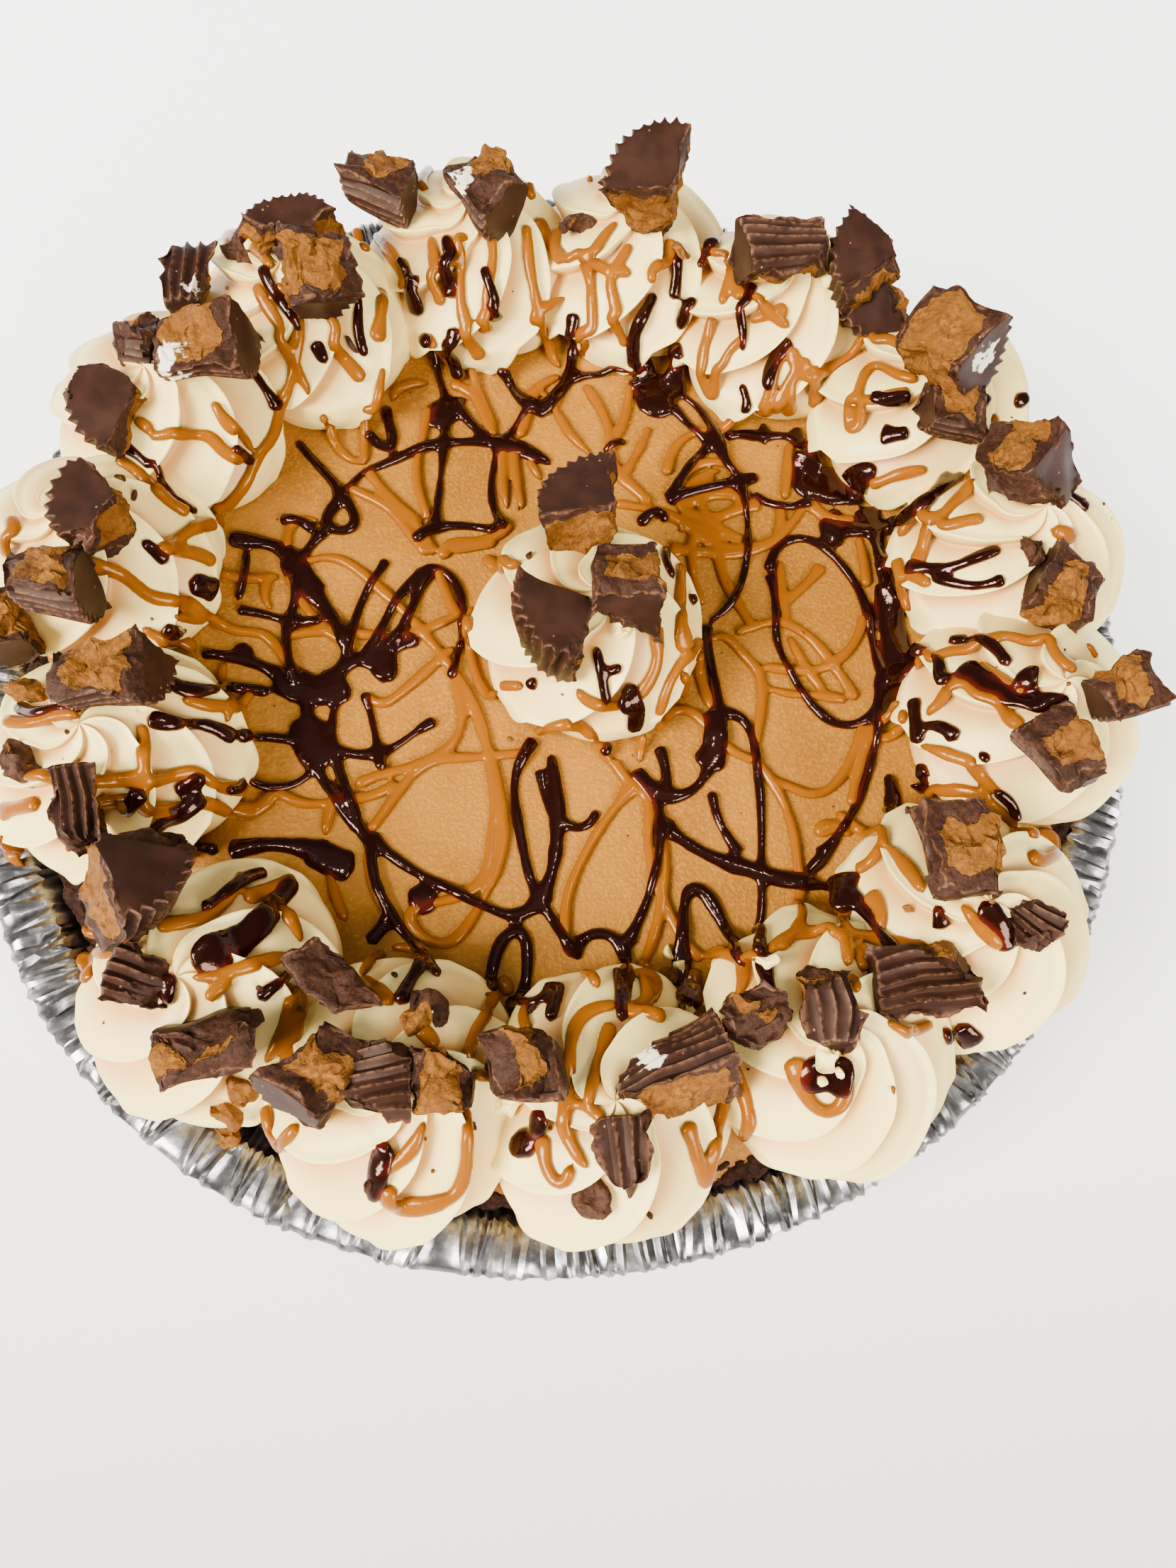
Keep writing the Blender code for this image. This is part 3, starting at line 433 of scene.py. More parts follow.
# Peanut butter drizzle: width, points as seen on the reading plane
PEANUT_BUTTER = [
    (2.3, [(-40, 30), (-34, 24), (-30, 20), (-28, 15)]),
    (2.3, [(-30, 50), (-31, 42), (-32, 33), (-29, 23)]),
    (2.3, [(-52, 48), (-49, 40), (-45, 36), (-42, 36)]),
    (2.3, [(-40, 60), (-41, 52), (-43, 42), (-42.5, 36)]),
    (2.3, [(-42, 34), (-38, 29), (-33, 24), (-30, 22)]),
    (2.3, [(-46, 30), (-38, 26), (-32, 19), (-29, 15)]),
    (2.3, [(-57, 15), (-57, 21), (-54, 23), (-51, 22)]),
    (2.3, [(-55, 12), (-50, 14), (-45, 13), (-38, 7), (-32, 1), (-27, -5), (-20, -15), (-17, -23),
           (-15, -30), (-13, -38), (-13, -47), (-17, -57), (-22, -64), (-27, -63), (-30, -58),
           (-20, -55), (-16, -51), (-15, -43), (-14.5, -35), (-16, -28)]),
    (2.3, [(-70, 9), (-63, 8.5), (-58, 9.5)]),
    (2.3, [(-60, 10), (-61, 4), (-59, 2)]),
    (2.3, [(-57, 10), (-52, 2), (-47, -3), (-42, -6)]),
    (2.3, [(-78, 1), (-70, -1), (-65, -3), (-60, -3), (-56, -8), (-53, -12)]),
    (2.3, [(-57, -4), (-48, -2), (-40, -3), (-32, -3), (-26, 0), (-22, 2)]),
    (2.3, [(-40, -15), (-37, -18), (-32, -14), (-27, -9), (-23, -5)]),
    (2.3, [(-27, 12), (-24, 4), (-22, 1)]),
    (2.3, [(-20, 4), (-20, -6), (-17, -15), (-14, -17)]),
    (2.3, [(-23, -12), (-21, -19), (-23, -26), (-30, -30), (-37, -32), (-41, -34)]),
    (2.3, [(-8, -27), (-18, -28), (-27, -29), (-32, -34), (-37, -42), (-38, -43)]),
    (2.3, [(-56, -35), (-50, -38), (-44, -37), (-37, -36), (-33, -33)]),
    (2.3, [(-45, -37), (-46, -44)]),
    (2.3, [(-38, -46), (-36, -55), (-33, -59)]),
    (2.3, [(-45, -50), (-43, -56), (-41, -60)]),
    (2.3, [(27, -3), (31, -1), (34, -5), (38, -10), (37.5, -18), (36, -25)]),
    (2.3, [(33, -1), (38, 1), (43, 2), (49, -2), (53, -8), (57, -15)]),
    (2.3, [(38, -12), (43, -14), (50, -14), (55, -15)]),
    (2.3, [(38, -8), (47, -9), (53, -7), (58, -2), (60, 4)]),
    (2.3, [(44, -1), (47, -8), (51, -14)]),
    (2.3, [(9, 28), (16, 27), (22, 25), (28, 20), (33, 18), (42, 20), (48, 27), (50, 30)]),
    (2.3, [(20, 18), (28, 17), (35, 17), (42, 20)]),
    (2.3, [(22, 22), (28, 24), (34, 27), (40, 29)]),
    (2.3, [(27, 26), (30, 20), (31, 12), (35, 4), (37, 0)]),
    (2.3, [(25, 22), (25, 12), (27, 5)]),
    (2.3, [(20, 35), (22, 42), (27, 46), (32, 46), (38, 50)]),
    (2.3, [(22, 32), (25, 37), (31, 39), (34, 38)]),
    (2.3, [(23, 28), (26, 34), (32, 37)]),
    (2.3, [(3, 57), (7, 50), (8.5, 44), (9, 37), (12, 32)]),
    (2.3, [(13, 59), (12, 50), (9, 42)]),
    (2.3, [(17, 47), (13, 38), (10, 33)]),
    (2.3, [(-6, 55), (-3, 50), (0, 44), (5, 39)]),
    (2.3, [(-9, 53), (-9, 48), (-11, 43)]),
    (2.3, [(-9, 52), (-7, 56), (-2, 59)]),
    (2.3, [(-26, 56), (-21, 54), (-18, 48), (-16, 43)]),
    (2.3, [(-22, 60), (-19, 53), (-16, 45)]),
    (2.3, [(-38, 51), (-36, 55), (-30, 56)]),
    (2.3, [(-12, 40), (-11, 32), (-10, 26)]),
    (2.3, [(-14, 40), (-14, 32), (-13, 26)]),
    (2.3, [(-9, 38), (-6, 33)]),
    (2.3, [(-26, 14), (-25, 18), (-20, 18), (-14, 20), (-12, 23)]),
    (2.3, [(12, -33), (6, -41), (2, -48), (-1, -56), (-1, -66)]),
    (2.3, [(8, -28), (11, -33), (15, -36), (14.5, -45), (17, -55), (20, -62), (24, -67)]),
    (2.3, [(17, -42), (17.5, -50), (16, -60), (13, -68)]),
    (2.3, [(36, -28), (40, -34), (42.5, -42), (43, -50), (43, -60), (38, -65)]),
    (2.3, [(38, -31), (42, -33), (47, -35), (52, -32), (56, -25), (58, -20)]),
    (2.3, [(52, -40), (47, -43), (48, -40), (51, -41), (54, -43)]),
    (2.3, [(17, -20), (22, -17), (27, -21), (31, -26), (36, -28)]),
    (2.3, [(25, -6), (26, -12), (28, -18)]),
    (2.3, [(52, 15), (48, 10), (43, 6)]),
    (2.3, [(60, 22), (61, 16), (61, 10)]),
    (2.3, [(47, 44), (46, 37), (45, 30)]),
    (2.3, [(66, -15), (63, -18), (59, -22), (56, -30), (54, -37)]),
    (2.3, [(24, 31), (28, 33), (33, 32), (36, 29), (33, 26), (27, 25), (23, 27)]),
    (2.3, [(22, 27), (27, 30), (33, 31), (38, 29)]),
    (2.3, [(30, 36), (27, 31), (28, 26), (32, 22), (36, 20)]),
    (2.3, [(68, 17), (69, 12), (70, 5)]),
    (2.3, [(58, -20), (60, -23), (63, -23), (66, -20)]),
    (2.3, [(51, -38), (56, -42), (60, -44), (58, -48), (54, -50)]),
    (2.3, [(43.5, 16), (43, 9), (44, 2)]),
    (2.3, [(31, 46), (33, 40), (35, 35)]),
    (2.3, [(44, 30), (44, 25), (42, 20)]),
    (3.0, [(50, 30), (52, 27), (56, 25), (60, 26)]),
    (2.3, [(64, 18), (65, 10), (67, 3)]),
    (2.3, [(-31, 69), (-28, 63), (-23, 57)]),
    (2.3, [(10, 35), (14, 31), (17, 28)]),
    (2.3, [(19, 26), (26, 23), (33, 20)]),
    (3.0, [(-25, 17), (-20, 17.5), (-15, 19)]),
    # On the cream of the west and northwest
    (2.7, [(-75, -17), (-70, -18.5), (-64, -18), (-61, -15)]),
    (2.7, [(-67, -9), (-68, -13), (-66, -17), (-66, -22)]),
    (2.7, [(-63, 77), (-55, 77)]),
    (3.0, [(-66, 75), (-62, 69), (-60, 64), (-58, 58), (-54, 52)]),
    (2.7, [(-58, 72), (-59, 55), (-61, 50), (-62, 42), (-65, 37), (-66, 32), (-69, 27), (-72, 22)]),
    (2.7, [(-54, 74), (-50, 69), (-50, 64), (-47, 60), (-44, 56)]),
    (2.7, [(-42, 80), (-41, 75), (-42, 66)]),
    (2.7, [(-75, 50), (-72, 45), (-68, 42), (-66, 38)]),
    (2.7, [(-87, 41), (-80, 41), (-75, 42), (-72, 38), (-68, 36)]),
    (2.7, [(-90, 45), (-86, 42)]),
    (2.7, [(-93, 35), (-88, 32), (-84, 28), (-81, 25), (-77, 23)]),
    (2.7, [(-82, 14), (-79, 17), (-76, 20), (-72, 21)]),
    (2.7, [(-81, 15), (-74, 14), (-71, 12)]),
    (2.7, [(-92, 12), (-87, 8), (-82, 4), (-76, 4), (-73, 1), (-69, -2)]),
    (2.7, [(-84, -2), (-78, -5), (-73, -7)]),
    (2.7, [(-112, 21), (-110, 18), (-111, 12)]),
    (2.7, [(-75, 88), (-75, 94), (-72, 94), (-69, 89), (-65, 84)]),
    (2.7, [(-84, 91), (-80, 88)]),
    (2.7, [(-63, 107), (-59, 103)]),
    # On the cream of the north
    (2.7, [(-48, 97), (-46, 90)]),
    (2.7, [(-43, 94), (-40, 90), (-37, 85), (-35, 79)]),
    (2.7, [(-31, 95), (-30, 89), (-29, 82), (-28, 76)]),
    (2.7, [(-22, 93), (-24, 87), (-24, 79), (-23, 73), (-21, 67), (-19, 63)]),
    (2.7, [(-18, 97), (-17, 90), (-18, 82), (-18, 70)]),
    (2.7, [(-10, 99), (-9, 87), (-7, 75), (-5, 65), (-2, 61)]),
    (2.7, [(-8, 101), (-5, 95), (-1, 89)]),
    (2.7, [(-1, 80), (-4, 74), (-5, 68)]),
    (2.7, [(-2, 99), (-3, 92), (2, 88), (7, 87), (14, 87)]),
    (2.7, [(11, 101), (7, 95), (5, 89), (5, 80), (5, 71), (3, 64)]),
    (2.7, [(14, 95), (11, 89), (9, 85), (10, 79), (11, 73), (12, 67)]),
    (2.7, [(17, 77), (15, 72)]),
    (2.7, [(33, 97), (32, 91), (35, 86), (39, 81)]),
    (2.7, [(39, 87), (35, 83), (34, 79)]),
    (2.7, [(33, 75), (30, 69), (29, 61), (31, 55), (33, 61), (35, 67), (39, 71)]),
    (2.7, [(-31, 115), (-34, 109), (-34, 105)]),
    (2.7, [(6, 121), (3, 116), (5, 112)]),
    (2.7, [(-14, 118), (-10, 112), (-9, 106)]),
    (3.0, [(31, 112), (34, 108), (38, 103), (42, 103)]),
    (2.7, [(23, 97), (22, 90), (18, 84)]),
    (2.7, [(-29, 86), (-24, 88)]),
    # On the cream of the northeast and east
    (2.7, [(41, 79), (49, 74)]),
    (2.7, [(40, 75), (49, 79)]),
    (2.7, [(52, 61), (57, 63), (63, 67), (71, 72), (74, 69)]),
    (2.7, [(49, 69), (50, 63), (54, 59), (53, 53)]),
    (2.7, [(49, 63), (45, 53)]),
    (3.2, [(47, 67), (44, 59), (42, 52)]),
    (3.0, [(53, 66), (48, 60), (48, 52)]),
    (2.7, [(77, 61), (72, 62), (68, 65), (65, 62), (63, 56), (60, 48), (63, 48), (65, 54),
           (71, 57), (75, 58)]),
    (2.7, [(77, 39), (69, 37), (62, 33)]),
    (2.7, [(86, 33), (82, 31), (79, 27), (73, 26), (69, 22)]),
    (2.7, [(88, 27), (80, 25), (75, 21), (72, 15)]),
    (2.7, [(70, 14), (75, 11)]),
    (2.7, [(107, 23), (102, 25)]),
    (4, [(92, 51), (93, 52)]),
    (2.7, [(52, 107), (55, 105)]),
    (2.7, [(70, -8), (77, -4), (83, -4), (88, 0), (94, -2), (98, -2), (100, -6), (103, -8)]),
    (2.7, [(106, -1), (108, -5)]),
    (2.7, [(76, -13), (79, -8)]),
    (2.7, [(71, -18), (75, -15), (84, -14), (87, -18), (91, -20)]),
    (2.7, [(83, -6), (87, -10), (92, -13)]),
    (2.7, [(69, -24), (75, -26), (79, -28), (82, -32), (85, -34)]),
    (3.0, [(69, -35), (73, -33), (81, -34), (83, -38), (88, -42), (93, -42), (94, -45), (90, -48),
           (88, -46)]),
    # On the cream of the southeast and south
    (2.7, [(61, -45), (65, -50), (67, -54)]),
    (2.7, [(51, -53), (51, -59), (51, -68)]),
    (2.7, [(36, -66), (41, -62), (50, -62), (59, -63), (67, -65)]),
    (2.7, [(53, -63), (54, -69)]),
    (2.7, [(56, -54), (59, -57), (58, -62)]),
    (2.7, [(74, -56), (77, -60), (81, -64)]),
    (3, [(40, -84), (42, -91), (45, -94), (49, -92), (50, -85)]),
    (2.7, [(-19, -84), (-17, -78), (-14, -73)]),
    (2.7, [(2, -69), (5, -72)]),
    (2.7, [(13, -70), (14, -75), (9, -76), (17, -77)]),
    (2.7, [(8, -75), (3, -76), (0, -80), (-1, -92), (-1, -97), (3, -103)]),
    (2.7, [(7, -78), (4, -87), (3, -93)]),
    (3.0, [(-5, -97), (-4, -104), (-1, -106), (0, -102)]),
    (2.7, [(20, -95), (22, -102), (23, -106), (25, -98), (27, -90)]),
    (2.7, [(29, -85), (31, -91), (32, -96), (30, -98)]),
    (2.7, [(-19, -92), (-18, -100), (-20, -107), (-29, -108)]),
    (2.7, [(-18, -87), (-12.5, -87)]),
    (2.7, [(-13.6, -70), (-11, -71), (-11.5, -73.5)]),
    (3.0, [(-8, -74.5), (-9, -78.5), (-7.5, -80)]),
    (2.7, [(10, -69.5), (15, -69.5), (15.5, -73), (14.4, -75)]),
    (2.7, [(22, -68), (22.4, -71), (23, -75.5)]),
    (3.2, [(25.5, -65.5), (29, -66), (32.5, -67), (35, -66.5)]),
    (2.7, [(31.5, -67), (32, -71), (30, -74)]),
    (2.7, [(53, -62.5), (54.5, -65.5), (55, -68.5), (57, -68), (59, -66.5)]),
    (3.0, [(57.5, -77.5), (61.5, -79.5), (66, -78)]),
    (2.7, [(51, -70), (52.5, -73)]),
    (2.7, [(-1, -92), (3, -92.5), (6, -95)]),
    # On the cream of the southwest
    (2.7, [(-48.5, -70.5), (-48.5, -76.5), (-49.5, -81.5), (-50, -85.5)]),
    (2.7, [(-33, -64.5), (-30, -64.5), (-27, -65), (-27.5, -67.5), (-29, -70.5)]),
    (2.7, [(-28, -78.5), (-26, -80), (-24, -82.5)]),
    (2.7, [(-107, -22), (-102, -23), (-98, -21), (-93, -21)]),
    (2.7, [(-82, -22), (-80, -27), (-80, -34), (-80, -38)]),
    (2.7, [(-102, -32), (-97, -34), (-88, -34), (-83, -33), (-77, -33), (-71, -31), (-67, -34),
           (-61, -35)]),
    (2.7, [(-105, -40), (-98, -38)]),
    (2.7, [(-87, -38), (-83, -37), (-79, -38), (-73, -39), (-69, -37), (-62, -40), (-57, -38),
           (-56, -35)]),
    (2.7, [(-104, -44), (-102, -49), (-99, -50)]),
    (2.7, [(-88, -62), (-83, -62)]),
    (2.7, [(-85, -70), (-88, -67), (-83, -66), (-77, -65)]),
    (2.7, [(-75, -61), (-68, -60), (-64, -58), (-60, -51)]),
    (2.7, [(-60, -56), (-55, -54), (-51, -52)]),
    (2.7, [(-53, -58), (-50, -61), (-49, -64)]),
    (2.7, [(-68, -70), (-61, -69), (-56, -67), (-50, -66)]),
    (2.7, [(-65, -74), (-61, -70)]),
    (2.7, [(-50, -72), (-51, -79), (-54, -85)]),
    (2.7, [(-38, -70), (-34, -65)]),
    (2.7, [(-38, -70), (-32, -75)]),
    (2.7, [(-53, -92), (-50, -99), (-47, -95)]),
    (2.7, [(-25, -94), (-28, -100), (-34, -104)]),
    (2.7, [(-31, -105), (-29, -109), (-21, -108)]),
    # On the middle rosette
    (2.7, [(-18, 15), (-13, 12), (-10, 14)]),
    (2.7, [(-14, -13), (-9, -13)]),
    (2.7, [(1, -13), (3, -16), (8, -17), (13, -15), (17, -8), (17, -3), (17, 1)]),
    (2.7, [(22, 16), (22, 8), (22, 0), (23, -5)]),
    (2.7, [(26, -2), (22, -7), (19, -12), (17, -19)]),
    (2.7, [(22, -9), (23, -13)]),
    (2.7, [(-7, -22), (-1, -21), (3, -21), (5, -26), (8, -29)]),
    (2.7, [(14, -23), (13, -29)]),
]


def add_object(name, data):
    """Object in the scene for a mesh, a light or a camera."""
    made = bpy.data.objects.new(name, data)
    bpy.context.collection.objects.link(made)
    return made


def new_piece(name, points, faces, surface, values=None, sharp=None):
    """Object of the pie from points in millimetres, with named values at its points."""
    mesh = bpy.data.meshes.new(name)
    mesh.from_pydata((np.asarray(points) * MM).tolist(), [], faces)
    for key, numbers in (values or {}).items():
        mesh.attributes.new(key, "FLOAT", "POINT").data.foreach_set(
            "value", np.asarray(numbers, np.float32))
    mesh.update()
    mesh.shade_smooth()
    if sharp:
        mesh.set_sharp_from_angle(angle=math.radians(sharp))
    mesh.materials.append(surface)
    made = add_object(name, mesh)
    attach(made, "root")
    return made


def angles_round(count):
    """Evenly spaced angles round a circle."""
    return np.arange(count) / count * math.tau


def ring_points(radius, angles, height):
    """Points round the axis of the pan."""
    return np.stack([radius * np.cos(angles), radius * np.sin(angles), height + 0.0 * angles], 1)


def ring_faces(rows, columns, first=0):
    """Faces of rows of points that each close into a ring."""
    faces = []
    for row in range(rows - 1):
        for column in range(columns):
            after = (column + 1) % columns
            low = first + row * columns
            faces.append((low + column, low + after, low + columns + after,
                          low + columns + column))
    return faces


def bumps(points, pitch, seed=0.0, octaves=2):
    """Smooth noise between about -1 and 1 whose lumps are about one pitch across."""
    scaled = np.asarray(points) / pitch + (seed * 13.7, seed * 7.1, seed * 3.3)
    return np.array([noise.fractal(Vector(p), 1.0, 2.1, octaves) for p in scaled])


def bump_vectors(points, pitch, seed=0.0):
    """Smooth noise vectors whose lumps are about one pitch across."""
    scaled = np.asarray(points) / pitch + (seed * 13.7, seed * 7.1, seed * 3.3)
    return np.array([noise.noise_vector(Vector(p)) for p in scaled])


def step_up(values, low, high):
    """Smooth step from 0 below the low value to 1 above the high one."""
    share = np.clip((values - low) / (high - low), 0.0, 1.0)
    return share * share * (3.0 - 2.0 * share)


def soft_least(*values):
    """Least of several values, rounded off where two of them cross."""
    sharpness = 0.8
    return -np.log(sum(np.exp(-sharpness * each) for each in values)) / sharpness


def smooth(values, times):
    """Even out a row of values or points between its two ends."""
    for _ in range(times):
        values[1:-1] = 0.25 * values[:-2] + 0.5 * values[1:-1] + 0.25 * values[2:]


def read(items, key, width, kind=np.float64):
    """Values of all points or edges of a mesh, one row for each."""
    values = np.empty(width * len(items), kind)
    items.foreach_get(key, values)
    return values.reshape(-1, width)


class Surface:
    """Material whose nodes are added one by one."""

    def __init__(self, name):
        self.material = bpy.data.materials.new(name)
        self.material.use_nodes = True
        self.tree = self.material.node_tree
        self.shader = self.tree.nodes["Principled BSDF"]
        self.place = self.add("ShaderNodeTexCoord").outputs["Object"]

    def add(self, kind, **settings):
        """New node with its settings."""
        node = self.tree.nodes.new(kind)
        for key, value in settings.items():
            setattr(node, key, value)
        return node

    def connect(self, value, socket):
        """Link an output, or set a plain value."""
        if isinstance(value, bpy.types.NodeSocket):
            self.tree.links.new(value, socket)
        else:
            socket.default_value = value

    def noise(self, pitch, detail=2.0, roughness=0.5):
        """Noise whose lumps are about one pitch across, in millimetres."""
        node = self.add("ShaderNodeTexNoise")
        node.inputs["Scale"].default_value = 1.0 / (pitch * MM)
        node.inputs["Detail"].default_value = detail
        node.inputs["Roughness"].default_value = roughness
        self.connect(self.place, node.inputs["Vector"])
        return node.outputs["Fac"]

    def cells(self, pitch):
        """Distance from the middle of cells about one pitch across, as a share of it."""
        node = self.add("ShaderNodeTexVoronoi", feature="F1")
        node.inputs["Scale"].default_value = 1.0 / (pitch * MM)
        self.connect(self.place, node.inputs["Vector"])
        return node.outputs["Distance"]

    def value(self, name):
        """Named value at the points of the mesh."""
        return self.add("ShaderNodeAttribute", attribute_name=name).outputs["Fac"]

    def steps(self, value, low, high, bottom=0.0, top=1.0):
        """Smooth change from the bottom to the top value as the input goes from low to high."""
        node = self.add("ShaderNodeMapRange", interpolation_type="SMOOTHSTEP")
        self.connect(value, node.inputs["Value"])
        node.inputs["From Min"].default_value = low
        node.inputs["From Max"].default_value = high
        node.inputs["To Min"].default_value = bottom
        node.inputs["To Max"].default_value = top
        return node.outputs["Result"]

    def sum(self, first, second, share=1.0):
        """First value plus a share of the second."""
        node = self.add("ShaderNodeMath", operation="MULTIPLY_ADD")
        self.connect(second, node.inputs[0])
        self.connect(share, node.inputs[1])
        self.connect(first, node.inputs[2])
        return node.outputs[0]

    def times(self, first, second):
        """Product of two values."""
        node = self.add("ShaderNodeMath", operation="MULTIPLY")
        self.connect(first, node.inputs[0])
        self.connect(second, node.inputs[1])
        return node.outputs[0]

    def mix(self, share, first, second):
        """Colour between two colours, each a screen colour or an output."""
        node = self.add("ShaderNodeMix", data_type="RGBA")
        self.connect(share, node.inputs[0])
        for value, socket in ((first, node.inputs[6]), (second, node.inputs[7])):
            self.connect(screen(value) if isinstance(value, tuple) else value, socket)
        return node.outputs[2]

    def bump(self, height, depth, strength=1.0):
        """Relief of a depth in millimetres on top of the relief that is there."""
        node = self.add("ShaderNodeBump")
        node.inputs["Strength"].default_value = strength
        node.inputs["Distance"].default_value = depth * MM
        self.connect(height, node.inputs["Height"])
        normal = self.shader.inputs["Normal"]
        if normal.links:
            self.connect(normal.links[0].from_socket, node.inputs["Normal"])
        self.connect(node.outputs["Normal"], normal)

    def finish(self, colour, roughness, **settings):
        """Set the colour, the roughness and any plain values of the shader."""
        self.connect(screen(colour) if isinstance(colour, tuple) else colour,
                     self.shader.inputs["Base Color"])
        self.connect(roughness, self.shader.inputs["Roughness"])
        for key, value in settings.items():
            self.shader.inputs[key.replace("_", " ")].default_value = value
        return self.material


def screen(colour):
    """Linear colour with alpha from a screen colour in 0 to 255."""
    linear = []
    for part in colour:
        share = part / 255.0
        linear.append(share / 12.92 if share <= 0.04045 else ((share + 0.055) / 1.055) ** 2.4)
    return (*linear, 1.0)


def foil_surface():
    """Bright metal, rougher and smoother by turns, with fine dents."""
    dull, bright = (119, 117, 115), (154, 151, 148)
    made = Surface("foil")
    fine = made.noise(1.6, 3.0)
    broad = made.noise(7.0, 2.0)
    made.bump(broad, 0.4, 0.3)
    made.bump(fine, 0.15, 0.35)
    rough = made.steps(broad, 0.35, 0.65, 0.23, 0.34)
    colour = made.mix(made.steps(fine, 0.4, 0.7), dull, bright)
    return made.finish(colour, rough, Metallic=1.0)


def crust_surface():
    """Baked cookie crumbs, dark and rough, with painted shade darkest between the grains."""
    dark, light, gap = (24, 9, 5), (54, 28, 16), (16, 6, 4)
    made = Surface("cookie_crumb")
    crumb = made.cells(1.3)
    fine = made.noise(0.7, 4.0, 0.65)
    made.bump(crumb, 0.7, 0.8)
    made.bump(fine, 0.5, 0.8)
    colour = made.mix(made.steps(fine, 0.42, 0.68), dark, light)
    # Painted shade between the grains
    colour = made.mix(made.steps(crumb, 0.45, 0.9), colour, gap)
    made.shader.inputs["Specular Tint"].default_value = screen((255, 205, 175))
    return made.finish(colour, made.steps(fine, 0.3, 0.7, 0.5, 0.8), Specular_IOR_Level=0.2)


def filling_surface():
    """Peanut butter filling with a fine grain, a few pores and small dark flecks."""
    dark, middle, light, fleck = (140, 87, 18), (156, 100, 25), (170, 113, 33), (86, 46, 10)
    made = Surface("peanut_butter_filling")
    grain = made.noise(0.8, 3.0, 0.6)
    broad = made.noise(22.0, 3.0)
    pores = made.cells(2.6)
    made.bump(grain, 0.42, 0.8)
    made.bump(made.steps(pores, 0.03, 0.10), 0.12, 0.5)
    colour = made.mix(made.steps(broad, 0.35, 0.65), dark, middle)
    colour = made.mix(made.steps(grain, 0.45, 0.75), colour, light)
    colour = made.mix(made.steps(made.cells(7.0), 0.055, 0.03), colour, fleck)
    made.shader.inputs["Specular Tint"].default_value = screen((255, 225, 180))
    return made.finish(colour, made.steps(grain, 0.3, 0.7, 0.42, 0.58),
                       Specular_IOR_Level=0.35)


def cream_surface():
    """Soft ivory cream with bubbles and a few dark specks, and painted warm shade in its hollows.
    """
    crest, hollow, speck = (255, 228, 138), (214, 163, 88), (40, 28, 20)
    made = Surface("whipped_cream")
    soft = made.noise(5.0, 2.0)
    fine = made.noise(0.9, 3.0)
    made.bump(soft, 0.2, 0.3)
    made.bump(fine, 0.05, 0.3)
    bubbles = made.steps(made.cells(9.0), 0.035, 0.07)
    made.bump(bubbles, 0.25, 0.6)
    # Painted shade: a warmer, darker colour in the hollow behind each lip
    colour = made.mix(made.steps(made.value("hollow"), 0.04, 0.8), crest, hollow)
    specks = made.times(made.steps(made.cells(11.0), 0.026, 0.018),
                        made.steps(made.noise(25.0), 0.5, 0.56))
    colour = made.mix(specks, colour, speck)
    made.shader.inputs["Subsurface Radius"].default_value = (0.003, 0.0026, 0.0015)
    return made.finish(colour, 0.45, Subsurface_Weight=0.15, Subsurface_Scale=0.4,
                       Specular_IOR_Level=0.35)


def cup_surface():
    """Milk chocolate shell outside, crumbly peanut butter where a cut goes deeper."""
    butter_dark, butter_light = (92, 54, 14), (132, 82, 24)
    butter_shade, butter_pit_shade = (112, 66, 17), (62, 34, 10)
    shell_dark, shell_light, fleck = (36, 18, 11), (47, 25, 16), (136, 98, 66)
    broken_dark, broken_light, dust_and_sheen = (38, 19, 11), (63, 35, 21), (104, 68, 44)
    cream = (250, 240, 206)
    made = Surface("peanut_butter_cup")
    ragged = made.noise(1.6, 3.0, 0.6)
    depth = made.sum(made.value("depth"), made.sum(ragged, -0.5), 1.4)
    inside = made.steps(depth, 0.15, 0.40)
    # Peanut butter: grains, and small pits with darker painted shade round them
    grain = made.noise(1.0, 4.0, 0.65)
    pits = made.cells(1.7)
    butter = made.mix(made.steps(grain, 0.36, 0.66), butter_dark, butter_light)
    butter = made.mix(made.times(made.steps(made.noise(6.0), 0.4, 0.62), 0.7), butter,
                      butter_shade)
    # Painted shade round the small pits
    butter = made.mix(made.steps(pits, 0.5, 0.85, 0.0, 0.3), butter, butter_pit_shade)
    # Moulded chocolate: darker and lighter patches, and flecks
    cloud = made.noise(4.0, 3.0)
    chocolate = made.mix(made.steps(cloud, 0.35, 0.68), shell_dark, shell_light)
    flecks = made.times(made.steps(made.cells(2.6), 0.11, 0.06),
                        made.steps(made.noise(9.0), 0.50, 0.56))
    chocolate = made.mix(flecks, chocolate, fleck)
    # Cut or broken chocolate: paler and rough, with dust and painted sheen on worn edges and crests
    cut = made.value("cut")
    broken = made.mix(made.steps(made.noise(0.9, 4.0, 0.7), 0.38, 0.70), broken_dark,
                      broken_light)
    chocolate = made.mix(cut, chocolate, broken)
    dust_and_sheen_share = made.times(made.steps(made.value("wear_and_sheen"), 0.25, 0.95),
                      made.steps(made.noise(1.0, 3.0), 0.36, 0.60))
    chocolate = made.mix(made.times(dust_and_sheen_share, 0.8), chocolate, dust_and_sheen)
    colour = made.mix(inside, chocolate, butter)
    # Smears of cream
    blots = made.sum(made.noise(3.0, 3.0), made.noise(1.2, 2.0), 0.4)
    blots = made.sum(made.value("smear"), made.sum(blots, -0.7), 2.2)
    colour = made.mix(made.steps(blots, 0.78, 1.0, 0.0, 0.9), colour, cream)
    made.bump(made.times(inside, grain), 0.7, 0.7)
    made.bump(made.times(inside, pits), 0.4, 0.5)
    made.bump(made.times(cut, ragged), 0.6, 0.6)
    made.bump(made.noise(0.8, 3.0), 0.08, 0.5)
    rough = made.sum(0.55, inside, 0.1)
    rough = made.sum(rough, cut, 0.1)
    made.shader.inputs["Specular Tint"].default_value = screen((255, 225, 205))
    return made.finish(colour, rough, Specular_IOR_Level=0.2)


